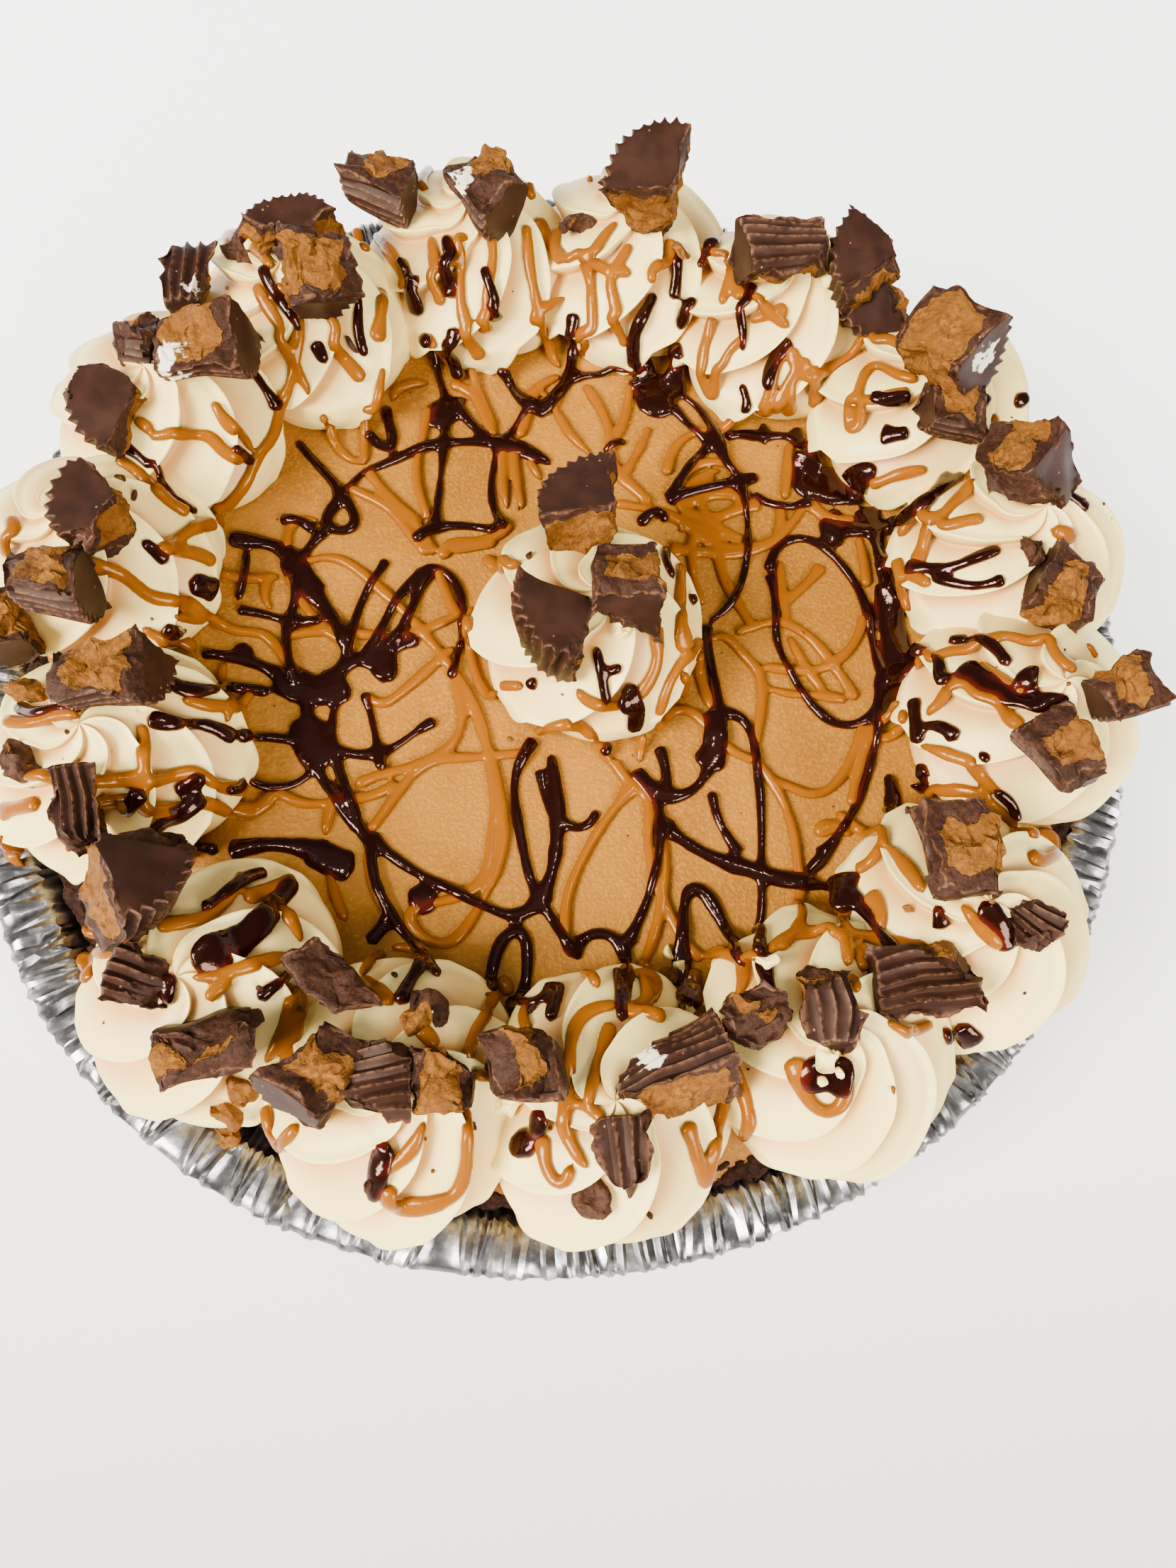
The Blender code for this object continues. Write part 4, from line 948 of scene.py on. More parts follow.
def drizzle_surface(name, middle, edge, roughness, shine, tint):
    """Glossy sauce, thinner and redder at a strand's sides; for peanut butter, painted shade there.
    """
    made = Surface(name)
    made.bump(made.noise(1.8, 2.0), 0.25, 0.4)
    colour = made.mix(made.value("side"), middle, edge)
    made.shader.inputs["Specular Tint"].default_value = screen(tint)
    return made.finish(colour, roughness, Specular_IOR_Level=shine)


def pleats():
    """Angles round the pan, how far the foil is folded out there, and how its pleats lean."""
    rng = random.Random(11)
    count = round(math.tau * PLEAT_RADIUS / PLEAT_PITCH)
    widths = [rng.uniform(0.6, 1.4) for _ in range(count)]
    total = sum(widths)
    angles, folds, leans = [], [], []
    start = 0.0
    for width in widths:
        depth = rng.uniform(0.45, 1.0)
        skew = rng.uniform(0.35, 0.65)
        crease = [(0.0, 0.0), (0.5 * skew, 0.55), (skew, 1.0), (0.5 + 0.5 * skew, 0.5),
                  (0.93, 0.06)]
        angles += [(start + share * width) / total * math.tau for share, _ in crease]
        folds += [fold * depth for _, fold in crease]
        leans += [rng.uniform(-0.010, 0.010)] * len(crease)
        start += width
    return np.array(angles), np.array(folds) - 0.45, np.array(leans)


def foil_pan(surface):
    """Thin pan with a flat base, a pleated flaring wall and a pleated flange."""
    angles, folds, leans = pleats()
    bend = BENT_OUT * np.exp(-((angles - BENT_AT) / BENT_SPREAD) ** 2)
    points = []
    for radius, height, across, up in FOIL_ROWS:
        turns = angles + leans * (radius - FLANGE_START) / 4.0 * (across > 0)
        reach = radius + folds * PLEAT_DEPTH * PLEAT_STRETCH * across
        if height > BENT_ABOVE:
            reach = reach + bend
        ring = ring_points(reach, turns, height + folds * PLEAT_DEPTH * up)
        # Wrinkles, which leave the foot of the wall on its level
        if across:
            wrinkle = bump_vectors(ring, 8.0, 3.0) * 0.5 + bump_vectors(ring, 2.6, 5.0) * 0.10
            ring = ring + wrinkle * (1.0, 1.0, 0.7 if height > 2 else 0.0)
        points.append(ring)
    made = new_piece("foil", np.concatenate(points), ring_faces(len(FOIL_ROWS), len(angles)),
                     surface, sharp=38)
    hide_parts("foil_pan")
    return made


def crust(surface):
    """Crumb crust whose ragged top edge shows between the filling and the foil."""
    turns = angles_round(900)
    outside = [(0.02, 0.95), (83.0, 0.95), (86.4, 1.4), (100.0, 18.0), (107.4, 27.2),
               (108.3, 28.4)]
    inside = [(103.6, 27.0), (98.0, 20.0), (83.0, 6.0), (0.02, 6.0)]
    steps = 26
    crown = []
    for step in range(steps + 1):
        angle = math.pi * step / steps
        crown.append((CRUST_EDGE_RADIUS + CRUST_EDGE_HALF_WIDTH * math.cos(angle),
                      CRUST_EDGE_HEIGHT + CRUST_EDGE_HALF_HEIGHT * math.sin(angle)))
    outline = outside + crown + inside
    ragged = range(len(outside) - 1, len(outline) - len(inside) + 1)
    points = []
    for index, (radius, height) in enumerate(outline):
        ring = ring_points(radius, turns, height)
        if index in ragged:
            lumps = bumps(ring, 9.0, 2.0) * 1.2
            grains = bump_vectors(ring, 2.4, 4.0) * 1.1 + bump_vectors(ring, 1.0, 6.0) * 0.55
            out = (radius - 105.5) / 5.0
            ring[:, 0] += np.cos(turns) * lumps * out + grains[:, 0]
            ring[:, 1] += np.sin(turns) * lumps * out + grains[:, 1]
            ring[:, 2] += lumps * 0.7 + grains[:, 2]
        points.append(ring)
    made = new_piece("crumb_crust", np.concatenate(points), ring_faces(len(outline), len(turns)),
                     surface)
    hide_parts("crust")
    return made


def filling(surface):
    """Filling with a flat, slightly uneven top that runs down onto the crust."""
    turns = angles_round(420)
    top = [(0.02, 0.0)] + [(radius, 0.0) for radius in np.arange(2.0, FILLING_FLAT, 1.9)]
    edge = [(98.5, -0.1), (100.5, -0.5), (102.5, -1.0), (104.2, -1.5), (105.6, -2.0),
            (106.8, -2.6), (107.7, -3.3), (108.1, -4.1), (107.6, -5.0), (105.5, -6.0)]
    hidden = [(100.0, -8.0), (80.0, -26.0), (0.02, -26.0)]
    outline = top + edge + hidden
    wander = bumps(ring_points(108.0, turns, 0.0), 16.0, 8.0, 3)
    points = []
    for index, (radius, drop) in enumerate(outline):
        out = float(np.clip((radius - FILLING_FLAT) / FILLING_SLOPE, 0.0, 1.0))
        ring = ring_points(radius + wander * 2.6 * out, turns, FILLING_TOP + drop)
        if index < len(outline) - len(hidden):
            ring[:, 2] += bumps(ring, 34.0, 1.0) * 0.4 + bumps(ring, 7.0, 9.0) * (0.1 + 0.5 * out)
        points.append(ring)
    made = new_piece("filling_top", np.concatenate(points), ring_faces(len(outline), len(turns)),
                     surface)
    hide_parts("filling")
    return made


def rosette_centres():
    """Centre of each rosette, and the direction that its width points in."""
    centres = []
    for angle, distance in RING_ROSETTES:
        turn = math.radians(angle)
        centres.append((distance * math.cos(turn), distance * math.sin(turn), turn))
    centres.append((*MIDDLE_ROSETTE, 0.0))
    return centres


def half_sizes(index):
    """Half widths of a rosette along the pan's radius and across it."""
    if index == len(RING_ROSETTES):
        return MIDDLE_HALF_WIDTH, MIDDLE_HALF_WIDTH
    return ROSETTE_HALF_WIDTH, ROSETTE_HALF_LENGTH


def folds_round(rng):
    """Angles round a rosette, and how far its folds swell there."""
    phases = np.concatenate([np.linspace(0.0, 0.84, 13),
                             (0.88, 0.91, 0.935, 0.95, 0.9625, 0.975, 0.9875)])
    # One fold: a hollow that rises to a thin upturned lip, and a steep fall behind it
    swell = np.where(phases < 0.95, 0.80 * np.sin(0.5 * math.pi * phases / 0.95) ** 0.9
                     + 0.20 * step_up(phases, 0.80, 0.95), 1.0 - step_up(phases, 0.95, 1.0))
    angles, swells = [], []
    start = 0.0
    for _ in range(rng.choice(FOLD_COUNTS)):
        width = rng.uniform(0.8, 1.2)
        angles.append(start + phases * width)
        swells.append(swell * rng.uniform(0.75, 1.1))
        start += width
    return np.concatenate(angles) / start * math.tau, np.concatenate(swells)


def swirl_outline():
    """Smooth outline of a swirl, as shares of the half width and of the height."""
    marks = np.linspace(0.0, 1.0, len(SWIRL_OUTLINE))
    along = np.linspace(0.0, 1.0, ROSETTE_ROWS)
    outs = np.interp(along, marks, [out for out, _ in SWIRL_OUTLINE])
    ups = np.interp(along, marks, [up for _, up in SWIRL_OUTLINE])
    smooth(outs, 3)
    smooth(ups, 3)
    return outs, ups


def rosette(index, centre, surface):
    """Swirl of broad smooth folds that lap over each other from the tip to the foot."""
    rng = random.Random(40 + index)
    x, y, turn = centre
    half_width, half_length = half_sizes(index)
    angles, swells = folds_round(rng)
    angles = angles + 1.7 * index
    outs, ups = swirl_outline()
    run = np.gradient(outs * ROSETTE_HALF_WIDTH)
    drop = np.gradient(-ups * ROSETTE_HEIGHT)
    length = np.hypot(run, drop)
    lean_x = rng.uniform(-1.5, 1.5)
    lean_y = rng.uniform(-1.5, 1.5)
    points = []
    for row, (out, up) in enumerate(zip(outs, ups)):
        share = row / (ROSETTE_ROWS - 1)
        depth = FOLD_DEPTH * min(1.0, 0.10 + 1.25 * out)
        fold = depth * (swells - 0.75)
        reach = np.maximum(max(out, 0.004) + fold * drop[row] / length[row] / half_width, 0.003)
        # The folds curl out from the tip and twist all the way down
        curl = ROSETTE_TWIST * share + math.asin(0.98 * min(1.0, out if share < 0.8 else 1.0))
        around = angles - curl
        lean = (1.0 - out) ** 2
        radial = half_width * reach * np.cos(around) + lean_x * lean
        side = half_length * reach * np.sin(around) + lean_y * lean
        level = ROSETTE_BASE + ROSETTE_HEIGHT * up + fold * run[row] / length[row]
        points.append(np.stack([x + radial * math.cos(turn) - side * math.sin(turn),
                                y + radial * math.sin(turn) + side * math.cos(turn), level], 1))
    points = np.concatenate(points)
    points += bump_vectors(points, 11.0, 2.0 + index) * 0.6
    points[:, 2] = np.maximum(points[:, 2], ROSETTE_BASE - 0.3)
    name = "rosette_%02d" % (index + 1) if index < len(RING_ROSETTES) else "rosette_middle"
    # The hollow value sets how much painted shade the cream gets behind each lip
    made = new_piece(name + "_swirl", points, ring_faces(ROSETTE_ROWS, len(angles)), surface,
                     {"hollow": np.tile((1.0 - swells) ** 1.4, ROSETTE_ROWS)})
    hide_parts(name)
    return made


def seen_at(x, y, height):
    """Slide a point read on the reading plane along the line of sight to a height."""
    share = (EYE.z - height) / (EYE.z - READING_HEIGHT)
    return (EYE.x + (x - EYE.x) * share, EYE.y + (y - EYE.y) * share)


def cream_height(x, y, centres):
    """Height of the cream, or of the filling where there is none."""
    height = FILLING_TOP + SINK + 0.35
    outline = [pair for pair in ROSETTE_OUTLINE if pair[1] > 0.3]
    for index, (cx, cy, turn) in enumerate(centres):
        radial = (x - cx) * math.cos(turn) + (y - cy) * math.sin(turn)
        side = (y - cy) * math.cos(turn) - (x - cx) * math.sin(turn)
        half_width, half_length = half_sizes(index)
        out = math.hypot(radial / half_width, side / half_length)
        for (near, high), (far, low) in zip(outline, outline[1:]):
            if near <= out < far:
                share = high + (low - high) * (out - near) / (far - near)
                height = max(height, ROSETTE_BASE + ROSETTE_HEIGHT * share)
    return height


def support_height(x, y, centres):
    """Height of the cream under a piece: the highest of its middle and four points round it."""
    around = [(0.0, 0.0), (FOOTING, 0.0), (-FOOTING, 0.0), (0.0, FOOTING), (0.0, -FOOTING)]
    return max(cream_height(x + dx, y + dy, centres) for dx, dy in around)


def piece_rotation(face, turn, lean, tip):
    """Rotation that turns a cup sector so that the named face is up and faces its turn."""
    heading = Vector((math.cos(math.radians(turn)), math.sin(math.radians(turn)), 0.0))
    up = Vector((0.0, 0.0, 1.0))
    left = up.cross(heading)
    tilt = Matrix.Rotation(math.radians(lean), 3, heading.cross(up))
    roll = Matrix.Rotation(math.radians(tip), 3, heading)
    if face == "disc":
        columns = (heading, left, up)
    elif face == "side":
        columns = (up, heading.cross(up), heading)
    elif face == "cut":
        columns = (heading, -up, left)
    else:
        columns = (heading, up, -left)
    return np.array(tilt @ roll @ Matrix(columns).transposed())


def block_skin(last_a, last_b, last_c):
    """Corners and faces of the skin of a block of cells, by their numbers along its sides."""
    numbers = {}

    def corner(a, b, c):
        return numbers.setdefault((a, b, c), len(numbers))

    faces = []
    for a in range(last_a):
        for b in range(last_b):
            faces.append((corner(a, b, last_c), corner(a, b + 1, last_c),
                          corner(a + 1, b + 1, last_c), corner(a + 1, b, last_c)))
            faces.append((corner(a, b, 0), corner(a + 1, b, 0), corner(a + 1, b + 1, 0),
                          corner(a, b + 1, 0)))
        for c in range(last_c):
            faces.append((corner(a, last_b, c), corner(a + 1, last_b, c),
                          corner(a + 1, last_b, c + 1), corner(a, last_b, c + 1)))
            faces.append((corner(a, 0, c), corner(a, 0, c + 1), corner(a + 1, 0, c + 1),
                          corner(a + 1, 0, c)))
    for b in range(last_b):
        for c in range(last_c):
            faces.append((corner(0, b, c), corner(0, b + 1, c), corner(0, b + 1, c + 1),
                          corner(0, b, c + 1)))
            faces.append((corner(last_a, b, c), corner(last_a, b, c + 1),
                          corner(last_a, b + 1, c + 1), corner(last_a, b + 1, c)))
    return np.array(list(numbers), float), faces


def break_corners(places, middle, on_cut, rough, rng):
    """Push what stands beyond a few planes back to them, and say where that is."""
    for _ in range(rough):
        aim = Vector((rng.uniform(-0.5, 0.9), rng.choice((-1.0, 1.0)) * rng.uniform(0.2, 1.0),
                      rng.choice((-1.0, 1.0)) * rng.uniform(0.2, 1.0))).normalized()
        aim = np.array(aim)
        ahead = (places - middle) @ aim
        limit = ahead.max() * rng.uniform(0.60, 0.82)
        beyond = np.maximum(0.0, ahead - limit)
        places -= aim * beyond[:, None]
        on_cut = np.maximum(on_cut, step_up(beyond, 0.05, 0.4))
    return on_cut


def cup_sector(face, span, size, tall, rough, shell_share, seed):
    """Skin of a sector of a fluted cup, and the depth of each point under the cup's skin."""
    rng = random.Random(seed)
    half = 0.5 * math.radians(span)
    radius = CUP_RADIUS * size
    height = CUP_HEIGHT * size * tall
    flutes = max(3, round(2.0 * half * radius / FLUTE_PITCH))
    cells_round = 4 * flutes
    corners, faces = block_skin(cells_round, CELLS_OUT, CELLS_UP)
    around, outward, upward = corners.T
    angle = -half + 2.0 * half * around / cells_round
    level = (upward / CELLS_UP - 0.5) * height
    wall = radius * (CUP_BASE_SHARE + (1.0 - CUP_BASE_SHARE) * upward / CELLS_UP)
    groove = np.abs(np.sin(0.25 * math.pi * around))
    depths = np.array([rng.uniform(0.6, 1.25) for _ in range(flutes + 1)])
    uneven = depths[(around / 4.0).astype(int)] * (0.6 + 0.4 * upward / CELLS_UP)
    wall = wall - FLUTE_DEPTH * groove * uneven
    reach = CUP_CORE + (wall - CUP_CORE) * outward / CELLS_OUT
    places = np.stack([reach * np.cos(angle), reach * np.sin(angle), level], 1)
    plain = places.copy()
    # Rounded edges
    sides = (around == 0) | (around == cells_round)
    edges = (sides.astype(int) + ((outward == 0) | (outward == CELLS_OUT))
             + ((upward == 0) | (upward == CELLS_UP)))
    middle = np.array([0.55 * radius, 0.0, 0.0])
    towards = middle - places
    towards /= np.linalg.norm(towards, axis=1)[:, None]
    places += towards * np.where(edges >= 2, 0.35, 0.0)[:, None]
    on_cut = (sides | (outward == 0)).astype(float)
    on_cut = break_corners(places, middle, on_cut, rough, rng)
    # Depth under the skin of the whole cup, less the thickness of the shell
    shell = shell_share * (SHELL_THICKNESS + SHELL_WANDER * bumps(plain, 5.0, seed, 2))
    far = np.hypot(places[:, 0], places[:, 1])
    side_depth = (wall + 0.3 - far) - shell * 0.9
    disc_depth = (0.5 * height - places[:, 2]) - shell * 1.15
    base_depth = (places[:, 2] + 0.5 * height) - shell * 1.15
    depth = soft_least(side_depth, disc_depth, base_depth) + 0.3
    # Cuts are uneven, and crumbly where they go through peanut butter
    butter = step_up(depth, -0.3, 0.8)
    crumbly = 0.7 + 0.35 * min(rough, 4) / 2.0
    grains = bump_vectors(places, 2.6, seed) * 0.9 + bump_vectors(places, 1.2, seed + 1) * 0.6
    places += grains * (crumbly * on_cut * (0.65 + 0.35 * butter))[:, None]
    places += bump_vectors(places, 5.5, seed + 3) * (2.0 * on_cut)[:, None]
    places += bump_vectors(plain, 9.0, seed + 2) * (1.0 + 0.6 * (rough > 2))
    # Flute crests and edges get the paler colour of wear and painted sheen
    crest = np.where(outward == CELLS_OUT, 1.0 - groove, 0.0) * (1.0 - on_cut)
    wear_and_sheen = np.maximum(crest * 0.8, np.where(edges >= 2, 1.0, 0.0))
    # Turned so that the cut that shows is square to the heading
    swing = {"cut": half, "cut_right": -half}.get(face, 0.0)
    turned = np.array([[math.cos(swing), -math.sin(swing), 0.0],
                       [math.sin(swing), math.cos(swing), 0.0], [0.0, 0.0, 1.0]])
    shift = np.array([-0.62 * radius, 0.0, 0.0])
    values = {"depth": depth, "wear_and_sheen": wear_and_sheen, "cut": on_cut}
    return (places + shift) @ turned.T, (plain + shift) @ turned.T, faces, values


def cup_piece(spec, index, centres, surface):
    """One piece of a cup, turned, and let down along the line of sight into the cream."""
    name, x, y, face, turn, lean, tip, span, size, tall, lift = spec
    rough = ROUGHNESS.get(name, 2)
    points, plain, faces, values = cup_sector(face, span, size, tall, rough,
                                              SHELLS.get(name, 1.0), 3.0 + index)
    rotation = piece_rotation(face, turn, lean, tip)
    points = points @ rotation.T
    lowest = (plain @ rotation.T)[:, 2].min()
    height = FILLING_TOP + ROSETTE_HEIGHT - lowest
    while height > support_height(*seen_at(x, y, height), centres) - lowest - SINK + lift:
        height -= 0.25
    values["smear"] = np.zeros(len(points))
    if name in SMEARED:
        away = np.linalg.norm(points - np.array(SMEARED[name]) * PATCH_AWAY, axis=1)
        values["smear"] = step_up(PATCH_REACH - away, 0.0, PATCH_EDGE)
    points += (*seen_at(x, y, height), height)
    made = new_piece("cup_" + name, points, faces, surface, values, sharp=42)
    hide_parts("piece_" + name)
    return made


def ground_tree(pieces):
    """Tree of the surfaces that drizzle and crumbs fall on, in millimetres."""
    points, faces = [], []
    for piece in pieces:
        first = len(points)
        points += [vert.co / MM for vert in piece.data.vertices]
        faces += [tuple(first + corner for corner in face.vertices)
                  for face in piece.data.polygons]
    return BVHTree.FromPolygons(points, faces)


def smooth_route(points, step):
    """Points about one step apart along a smooth curve through the given points."""
    ends = [points[0]] + list(points) + [points[-1]]
    route = []
    for before, start, finish, after in zip(ends, ends[1:], ends[2:], ends[3:]):
        count = max(1, round(math.dist(start, finish) / step))
        for index in range(count):
            t = index / count
            route.append(tuple(
                0.5 * (2 * b + (c - a) * t + (2 * a - 5 * b + 4 * c - d) * t * t
                       + (3 * b - a - 3 * c + d) * t ** 3)
                for a, b, c, d in zip(before, start, finish, after)))
    route.append(tuple(points[-1]))
    return route


def laid_route(points, ground):
    """Where a stroke seen on the reading plane lies on the ground, with the ground's normals."""
    hits = []
    for x, y in smooth_route(points, STROKE_STEP):
        ray = (Vector((x, y, READING_HEIGHT)) - EYE).normalized()
        hit, normal, _, _ = ground.ray_cast(EYE, ray)
        if hit is None:
            continue
        if hits:
            last = hits[-1][0]
            gap = (hit - last).length
            if gap > LONGEST_GAP:
                break
            steps = int(gap / FILL_STEP)
            for step in range(1, steps):
                over = last.lerp(hit, step / steps)
                down, slope, _, _ = ground.ray_cast(over + Vector((0, 0, 2.0)),
                                                    Vector((0, 0, -1.0)))
                if down is not None:
                    hits.append((down, slope))
        hits.append((hit, normal))
    return hits


def raise_to(ground, line, normals):
    """Lift the points of a line that have sunk into the ground back to its surface."""
    for place, normal in zip(line, normals):
        hit, _, _, _ = ground.ray_cast(Vector(place + normal * 4.0), Vector(-normal))
        if hit is not None:
            place += normal * max(0.0, (np.array(hit) - place) @ normal)


def strand_line(hits, ground):
    """Smooth line along a route on the ground, and the directions away from the ground."""
    line = np.array([hit for hit, _ in hits])
    normals = np.array([normal if normal.z > 0 else -normal for _, normal in hits])
    smooth(line, 5)
    smooth(normals, 13)
    normals /= np.linalg.norm(normals, axis=1)[:, None]
    for _ in range(2):
        raise_to(ground, line, normals)
        smooth(line, 3)
    return line, normals


def strand_breadth(line, width, sauce, others, rng):
    """Half width of a strand along its line: uneven, wider near others, and rounded off."""
    run = np.concatenate([[0.0], np.cumsum(np.linalg.norm(np.diff(line, axis=0), axis=1))])
    seed = rng.uniform(0, 90)
    sway = bumps(np.stack([run, 0 * run + seed, 0 * run], 1), 8.0, 0.0, 3)
    breadth = 0.5 * width * np.clip(1.0 + 0.35 * sway, 0.7, 1.4)
    gap = np.linalg.norm(line[:, None, :2] - others[None], axis=2).min(axis=1)
    breadth *= 1.0 + sauce.pooling * np.exp(-(gap / 2.0) ** 2)
    from_start, from_end = run, run[-1] - run
    for away in (from_start, from_end):
        breadth *= 1.0 + rng.choice(sauce.ends) * np.exp(-(away / (1.4 * width)) ** 2)
    nearest = np.minimum(from_start, from_end) / (0.6 * width)
    return breadth * np.sqrt(np.clip(1.0 - (1.0 - np.clip(nearest, 0.0, 1.0)) ** 2, 0.015, 1.0))


def strand(points, width, sauce, ground, others, rng):
    """Rings of points round a strand of sauce on the ground, and how many there are."""
    hits = laid_route(points, ground)
    if len(hits) < 4:
        return None
    line, normals = strand_line(hits, ground)
    along = np.gradient(line, axis=0)
    along /= np.maximum(np.linalg.norm(along, axis=1), 1e-6)[:, None]
    across = np.cross(normals, along)
    across /= np.maximum(np.linalg.norm(across, axis=1), 1e-6)[:, None]
    up = np.cross(along, across)
    angles = angles_round(STRAND_SIDES)
    rings = []
    for index, half in enumerate(strand_breadth(line, width, sauce, others, rng)):
        tall = min(half * sauce.flat, THICKEST)
        rings.append(line[index] + np.outer(np.cos(angles) * half, across[index])
                     + np.outer((np.sin(angles) + 0.5) * tall, up[index]))
    return np.concatenate(rings), len(line)


def fused(points, faces, closing):
    """Skin of shapes that overlap, with the corners between them filled up as in a liquid."""
    shape = bpy.data.meshes.new("strands")
    shape.from_pydata(points.tolist(), [], faces)
    shape.update()
    swell(shape, closing)
    made = changed(shape, "REMESH", mode="VOXEL", voxel_size=STRAND_GRAIN)
    first, second = read(made.edges, "vertices", 2, np.int64).T
    places = read(made.vertices, "co", 3)
    counts = np.bincount(np.concatenate([first, second]), minlength=len(places))[:, None]
    for _ in range(2):
        around = np.zeros_like(places)
        np.add.at(around, first, places[second])
        np.add.at(around, second, places[first])
        places = 0.5 * places + 0.5 * around / counts
    made.vertices.foreach_set("co", places.ravel())
    made.update()
    swell(made, -closing)
    made = changed(made, "DECIMATE", ratio=0.5 * STRAND_FACES / len(made.polygons))
    return read(made.vertices, "co", 3), [tuple(face.vertices) for face in made.polygons]


def changed(mesh, kind, **settings):
    """Mesh after one modifier, in place of the mesh."""
    holder = add_object("holder", mesh)
    modifier = holder.modifiers.new("change", kind)
    for key, value in settings.items():
        setattr(modifier, key, value)
    view = bpy.context.evaluated_depsgraph_get()
    made = bpy.data.meshes.new_from_object(holder.evaluated_get(view))
    bpy.data.objects.remove(holder)
    bpy.data.meshes.remove(mesh)
    return made


def swell(mesh, amount):
    """Move the points of a mesh out along their normals."""
    places = read(mesh.vertices, "co", 3) + amount * read(mesh.vertices, "normal", 3)
    mesh.vertices.foreach_set("co", places.ravel())
    mesh.update()


def drizzle(name, strokes, sauce, ground, surface, seed):
    """All strands of one sauce as one piece, which knows how thin the sauce is."""
    rng = random.Random(seed)
    points, faces = [], []
    first = 0
    courses = [np.array([seen_at(x, y, FILLING_TOP) for x, y in smooth_route(route, 1.0)])
               for _, route in strokes]
    for index, (width, route) in enumerate(strokes):
        others = np.concatenate(courses[:index] + courses[index + 1:])
        made = strand(route, width, sauce, ground, others, rng)
        if made is None:
            continue
        rings, rows = made
        points.append(rings)
        faces += ring_faces(rows, STRAND_SIDES, first)
        faces.append(tuple(first + side for side in reversed(range(STRAND_SIDES))))
        first += len(rings)
        faces.append(tuple(range(first - STRAND_SIDES, first)))
    places, skin = fused(np.concatenate(points), faces, sauce.closing)
    heights = np.array([ground.find_nearest(Vector(place))[3] for place in places])
    # Side value, 1 near the ground: thin red chocolate, painted shade on peanut butter
    return new_piece(name, places, skin, surface, {"side": 1.0 - step_up(heights, 0.2, 1.0)})


def hull_faces(points):
    """Triangles of the convex hull of points round the origin."""
    mesh = bpy.data.meshes.new("hull")
    mesh.from_pydata(points.tolist(), [], [])
    shape = bmesh.new()
    shape.from_mesh(mesh)
    bmesh.ops.convex_hull(shape, input=shape.verts)
    shape.verts.index_update()
    faces = [tuple(vert.index for vert in face.verts) for face in shape.faces]
    shape.free()
    bpy.data.meshes.remove(mesh)
    return faces


def ball(count):
    """Points spread evenly over a ball of radius 1, and the faces between them."""
    golden = math.pi * (3.0 - math.sqrt(5.0))
    shell = np.array([(math.sqrt(1 - z * z) * math.cos(golden * k),
                       math.sqrt(1 - z * z) * math.sin(golden * k), z)
                      for k, z in enumerate(np.linspace(-0.98, 0.98, count))])
    return shell, hull_faces(shell)


def crumbs(name, spots, ground, surface, seed):
    """Loose lumps that lie on the cream and the filling, the larger ones craggy."""
    rng = random.Random(seed)
    fine, coarse = ball(500), ball(42)
    points, faces, depths = [], [], []
    first = 0
    for x, y, size, kind in spots:
        down, _, _, _ = ground.ray_cast(Vector((x, y, FALL_FROM)), Vector((0, 0, -1.0)))
        if down is None:
            continue
        large = size > CRAGGY_SIZE
        shell, hull = fine if large else coarse
        sizes = np.array([rng.uniform(0.7, 1.3), rng.uniform(0.6, 1.1), rng.uniform(0.5, 0.9)])
        lump = shell * sizes * 0.5 * size
        place = lump + rng.uniform(0, 50)
        lump += bump_vectors(place, 0.7 * size) * 0.28 * size
        if large:
            lump += bump_vectors(place, 2.2) * 1.1 + bump_vectors(place, 0.9) * 0.4
        spin = np.array(Matrix.Rotation(rng.uniform(0, math.tau), 3,
                                        Vector((rng.uniform(-1, 1), rng.uniform(-1, 1), 1))))
        points.append(lump @ spin.T + (down.x, down.y, down.z + 0.22 * size))
        faces += [tuple(first + corner for corner in face) for face in hull]
        depths.append(kind + 2.4 * bumps(place, 3.0))
        first += len(shell)
    # Crumbs get half of the paler colour of wear and painted sheen
    values = {"depth": np.concatenate(depths), "wear_and_sheen": np.full(first, 0.5),
              "cut": np.ones(first), "smear": np.zeros(first)}
    return new_piece(name, np.concatenate(points), faces, surface, values, sharp=40)


def fallen_crumbs():
    """Small crumbs round each piece of cup: x, y, size, and their kind."""
    rng = random.Random(21)
    spots = []
    for _, middle_x, middle_y, *_ in CUP_PIECES:
        for _ in range(rng.randint(1, 3)):
            away = CUP_RADIUS * rng.uniform(0.7, 1.5)
            turn = rng.uniform(0.0, math.tau)
            x = middle_x + away * math.cos(turn)
            y = middle_y + away * math.sin(turn)
            if math.hypot(x, y) < CRUMB_REACH:
                spots.append((x, y, rng.choice(CRUMB_SIZES), rng.choice(CRUMB_KINDS)))
    return spots


def lamp(name, place, size, power, colour):
    """Square area light that faces the pie."""
    light = bpy.data.lights.new(name, "AREA")
    light.size = size
    light.energy = power
    light.color = colour
    made = add_object(name, light)
    made.location = place
    aim = Vector((0.0, 0.0, 0.03)) - Vector(place)
    made.rotation_euler = aim.to_track_quat("-Z", "Y").to_euler()


# Pan, crust, filling and cream
foil = foil_pan(foil_surface())
crumb_crust = crust(crust_surface())
filling_top = filling(filling_surface())
cream = cream_surface()
centres = rosette_centres()
rosettes = [rosette(index, centre, cream) for index, centre in enumerate(centres)]

# Drizzle, the chocolate over the peanut butter
cream_ground = [foil, crumb_crust, filling_top, *rosettes]
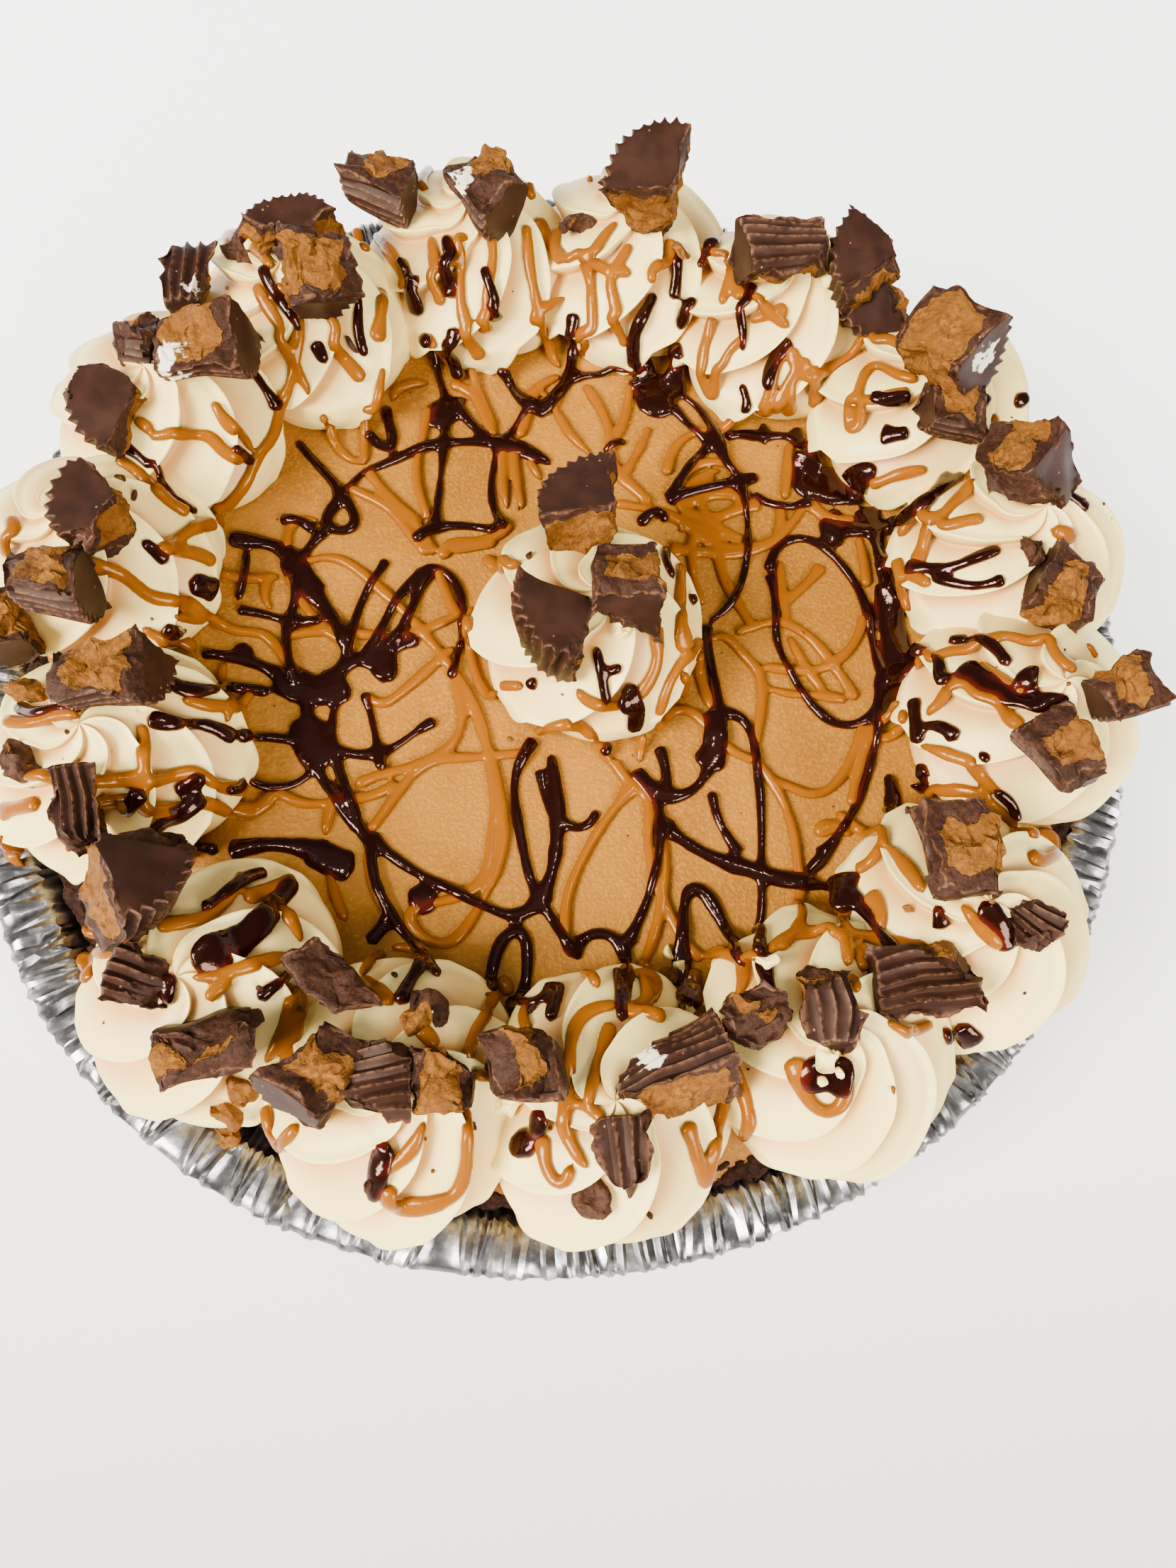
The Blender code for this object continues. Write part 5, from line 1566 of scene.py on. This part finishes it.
# Peanut butter sauce: darker at a strand's sides, painted shade where it meets the ground
butter_sauce = drizzle_surface("butter_sauce", (130, 71, 1), (100, 50, 1), 0.18, 0.35,
                               (255, 215, 160))
butter_drizzle = drizzle("drizzle_peanut_butter", PEANUT_BUTTER, BUTTER_SAUCE,
                         ground_tree(cream_ground), butter_sauce, 5)
dark_sauce = drizzle_surface("chocolate_sauce", (22, 4, 2), (66, 15, 7), 0.10, 0.4,
                             (255, 200, 175))
dark_drizzle = drizzle("drizzle_chocolate", CHOCOLATE, CHOCOLATE_SAUCE,
                       ground_tree([*cream_ground, butter_drizzle]), dark_sauce, 6)

# Cup pieces and loose crumbs
cup = cup_surface()
for index, spec in enumerate(CUP_PIECES):
    cup_piece(spec, index, centres, cup)
spots = [(*seen_at(x, y, FRAGMENT_HEIGHT), size, kind) for x, y, size, kind in FRAGMENTS]
sauced_ground = ground_tree([*cream_ground, dark_drizzle])
crumbs("cup_crumbs", spots + fallen_crumbs(), sauced_ground, cup, 22)
dabs = [(*seen_at(x, y, DAB_HEIGHT), size, 0.0) for x, y, size in CREAM_DABS]
crumbs("cream_dabs", dabs, sauced_ground, cream, 23)

# White floor that glows to fade into the background, painted darker as shade at the near side
REACH = 3.0
floor_mesh = bpy.data.meshes.new("floor")
floor_mesh.from_pydata([(-REACH, -REACH, 0.0), (REACH, -REACH, 0.0), (REACH, REACH, 0.0),
                        (-REACH, REACH, 0.0)], [], [(0, 1, 2, 3)])
floor = add_object("floor", floor_mesh)
white = Surface("white_floor")
place = white.add("ShaderNodeSeparateXYZ")
white.connect(white.place, place.inputs[0])
# Painted shade: the floor's colour and glow darken towards the near side
back = white.steps(place.outputs["Y"], -0.30, 0.12)
white.connect(white.mix(back, (169, 162, 155), (255, 254, 250)),
              white.shader.inputs["Emission Color"])
floor_mesh.materials.append(white.finish(white.mix(back, (169, 163, 157), (238, 237, 234)), 0.9,
                                         Emission_Strength=1.9))

# Room: pale near the horizon, dim above it, and paler again overhead
ROOM_SHADES = [(0.0, 1.6), (0.2, 0.9), (0.45, 0.2), (0.85, 0.2), (1.0, 0.6)]
world = bpy.data.worlds.new("soft_room")
world.use_nodes = True
room = world.node_tree
heading = room.nodes.new("ShaderNodeTexCoord")
split = room.nodes.new("ShaderNodeSeparateXYZ")
room.links.new(heading.outputs["Generated"], split.inputs[0])
shades = room.nodes.new("ShaderNodeValToRGB")
room.links.new(split.outputs["Z"], shades.inputs["Fac"])
stops = shades.color_ramp.elements
for level, _ in ROOM_SHADES[1:-1]:
    stops.new(level)
for stop, (_, shade) in zip(stops, ROOM_SHADES):
    stop.color = (shade, shade, shade, 1.0)
room.links.new(shades.outputs["Color"], room.nodes["Background"].inputs["Color"])
bpy.context.scene.world = world

# Lamps: two soft ones in front, and two small ones above for sparks on the sauce
WARM = (1.0, 0.98, 0.95)
WHITE = (1.0, 1.0, 1.0)
lamp("key_left", (-1.05, -0.55, 1.05), 0.7, 100.0, WARM)
lamp("key_right", (0.85, -1.05, 1.0), 0.8, 52.0, WARM)
lamp("spark_left", (-0.30, -0.15, 1.1), 0.05, 1.6, WHITE)
lamp("spark_right", (0.28, 0.15, 1.1), 0.05, 1.6, WHITE)

# Camera, close above the near side of the pan
pitch = math.radians(72.3)
yaw = math.radians(12.0)
roll = math.radians(12.17)
ahead = Vector((math.sin(yaw) * math.cos(pitch), math.cos(yaw) * math.cos(pitch),
                -math.sin(pitch)))
level_right = Vector((math.cos(yaw), -math.sin(yaw), 0.0))
level_up = level_right.cross(ahead)
right = level_right * math.cos(roll) + level_up * math.sin(roll)
up = level_up * math.cos(roll) - level_right * math.sin(roll)
lens = bpy.data.cameras.new("camera")
lens.lens = 26.0
lens.sensor_width = 36.0
camera = add_object("camera", lens)
camera.matrix_world = (Matrix.Translation(EYE * MM)
                       @ Matrix((right, up, -ahead)).transposed().to_4x4())
bpy.context.scene.camera = camera
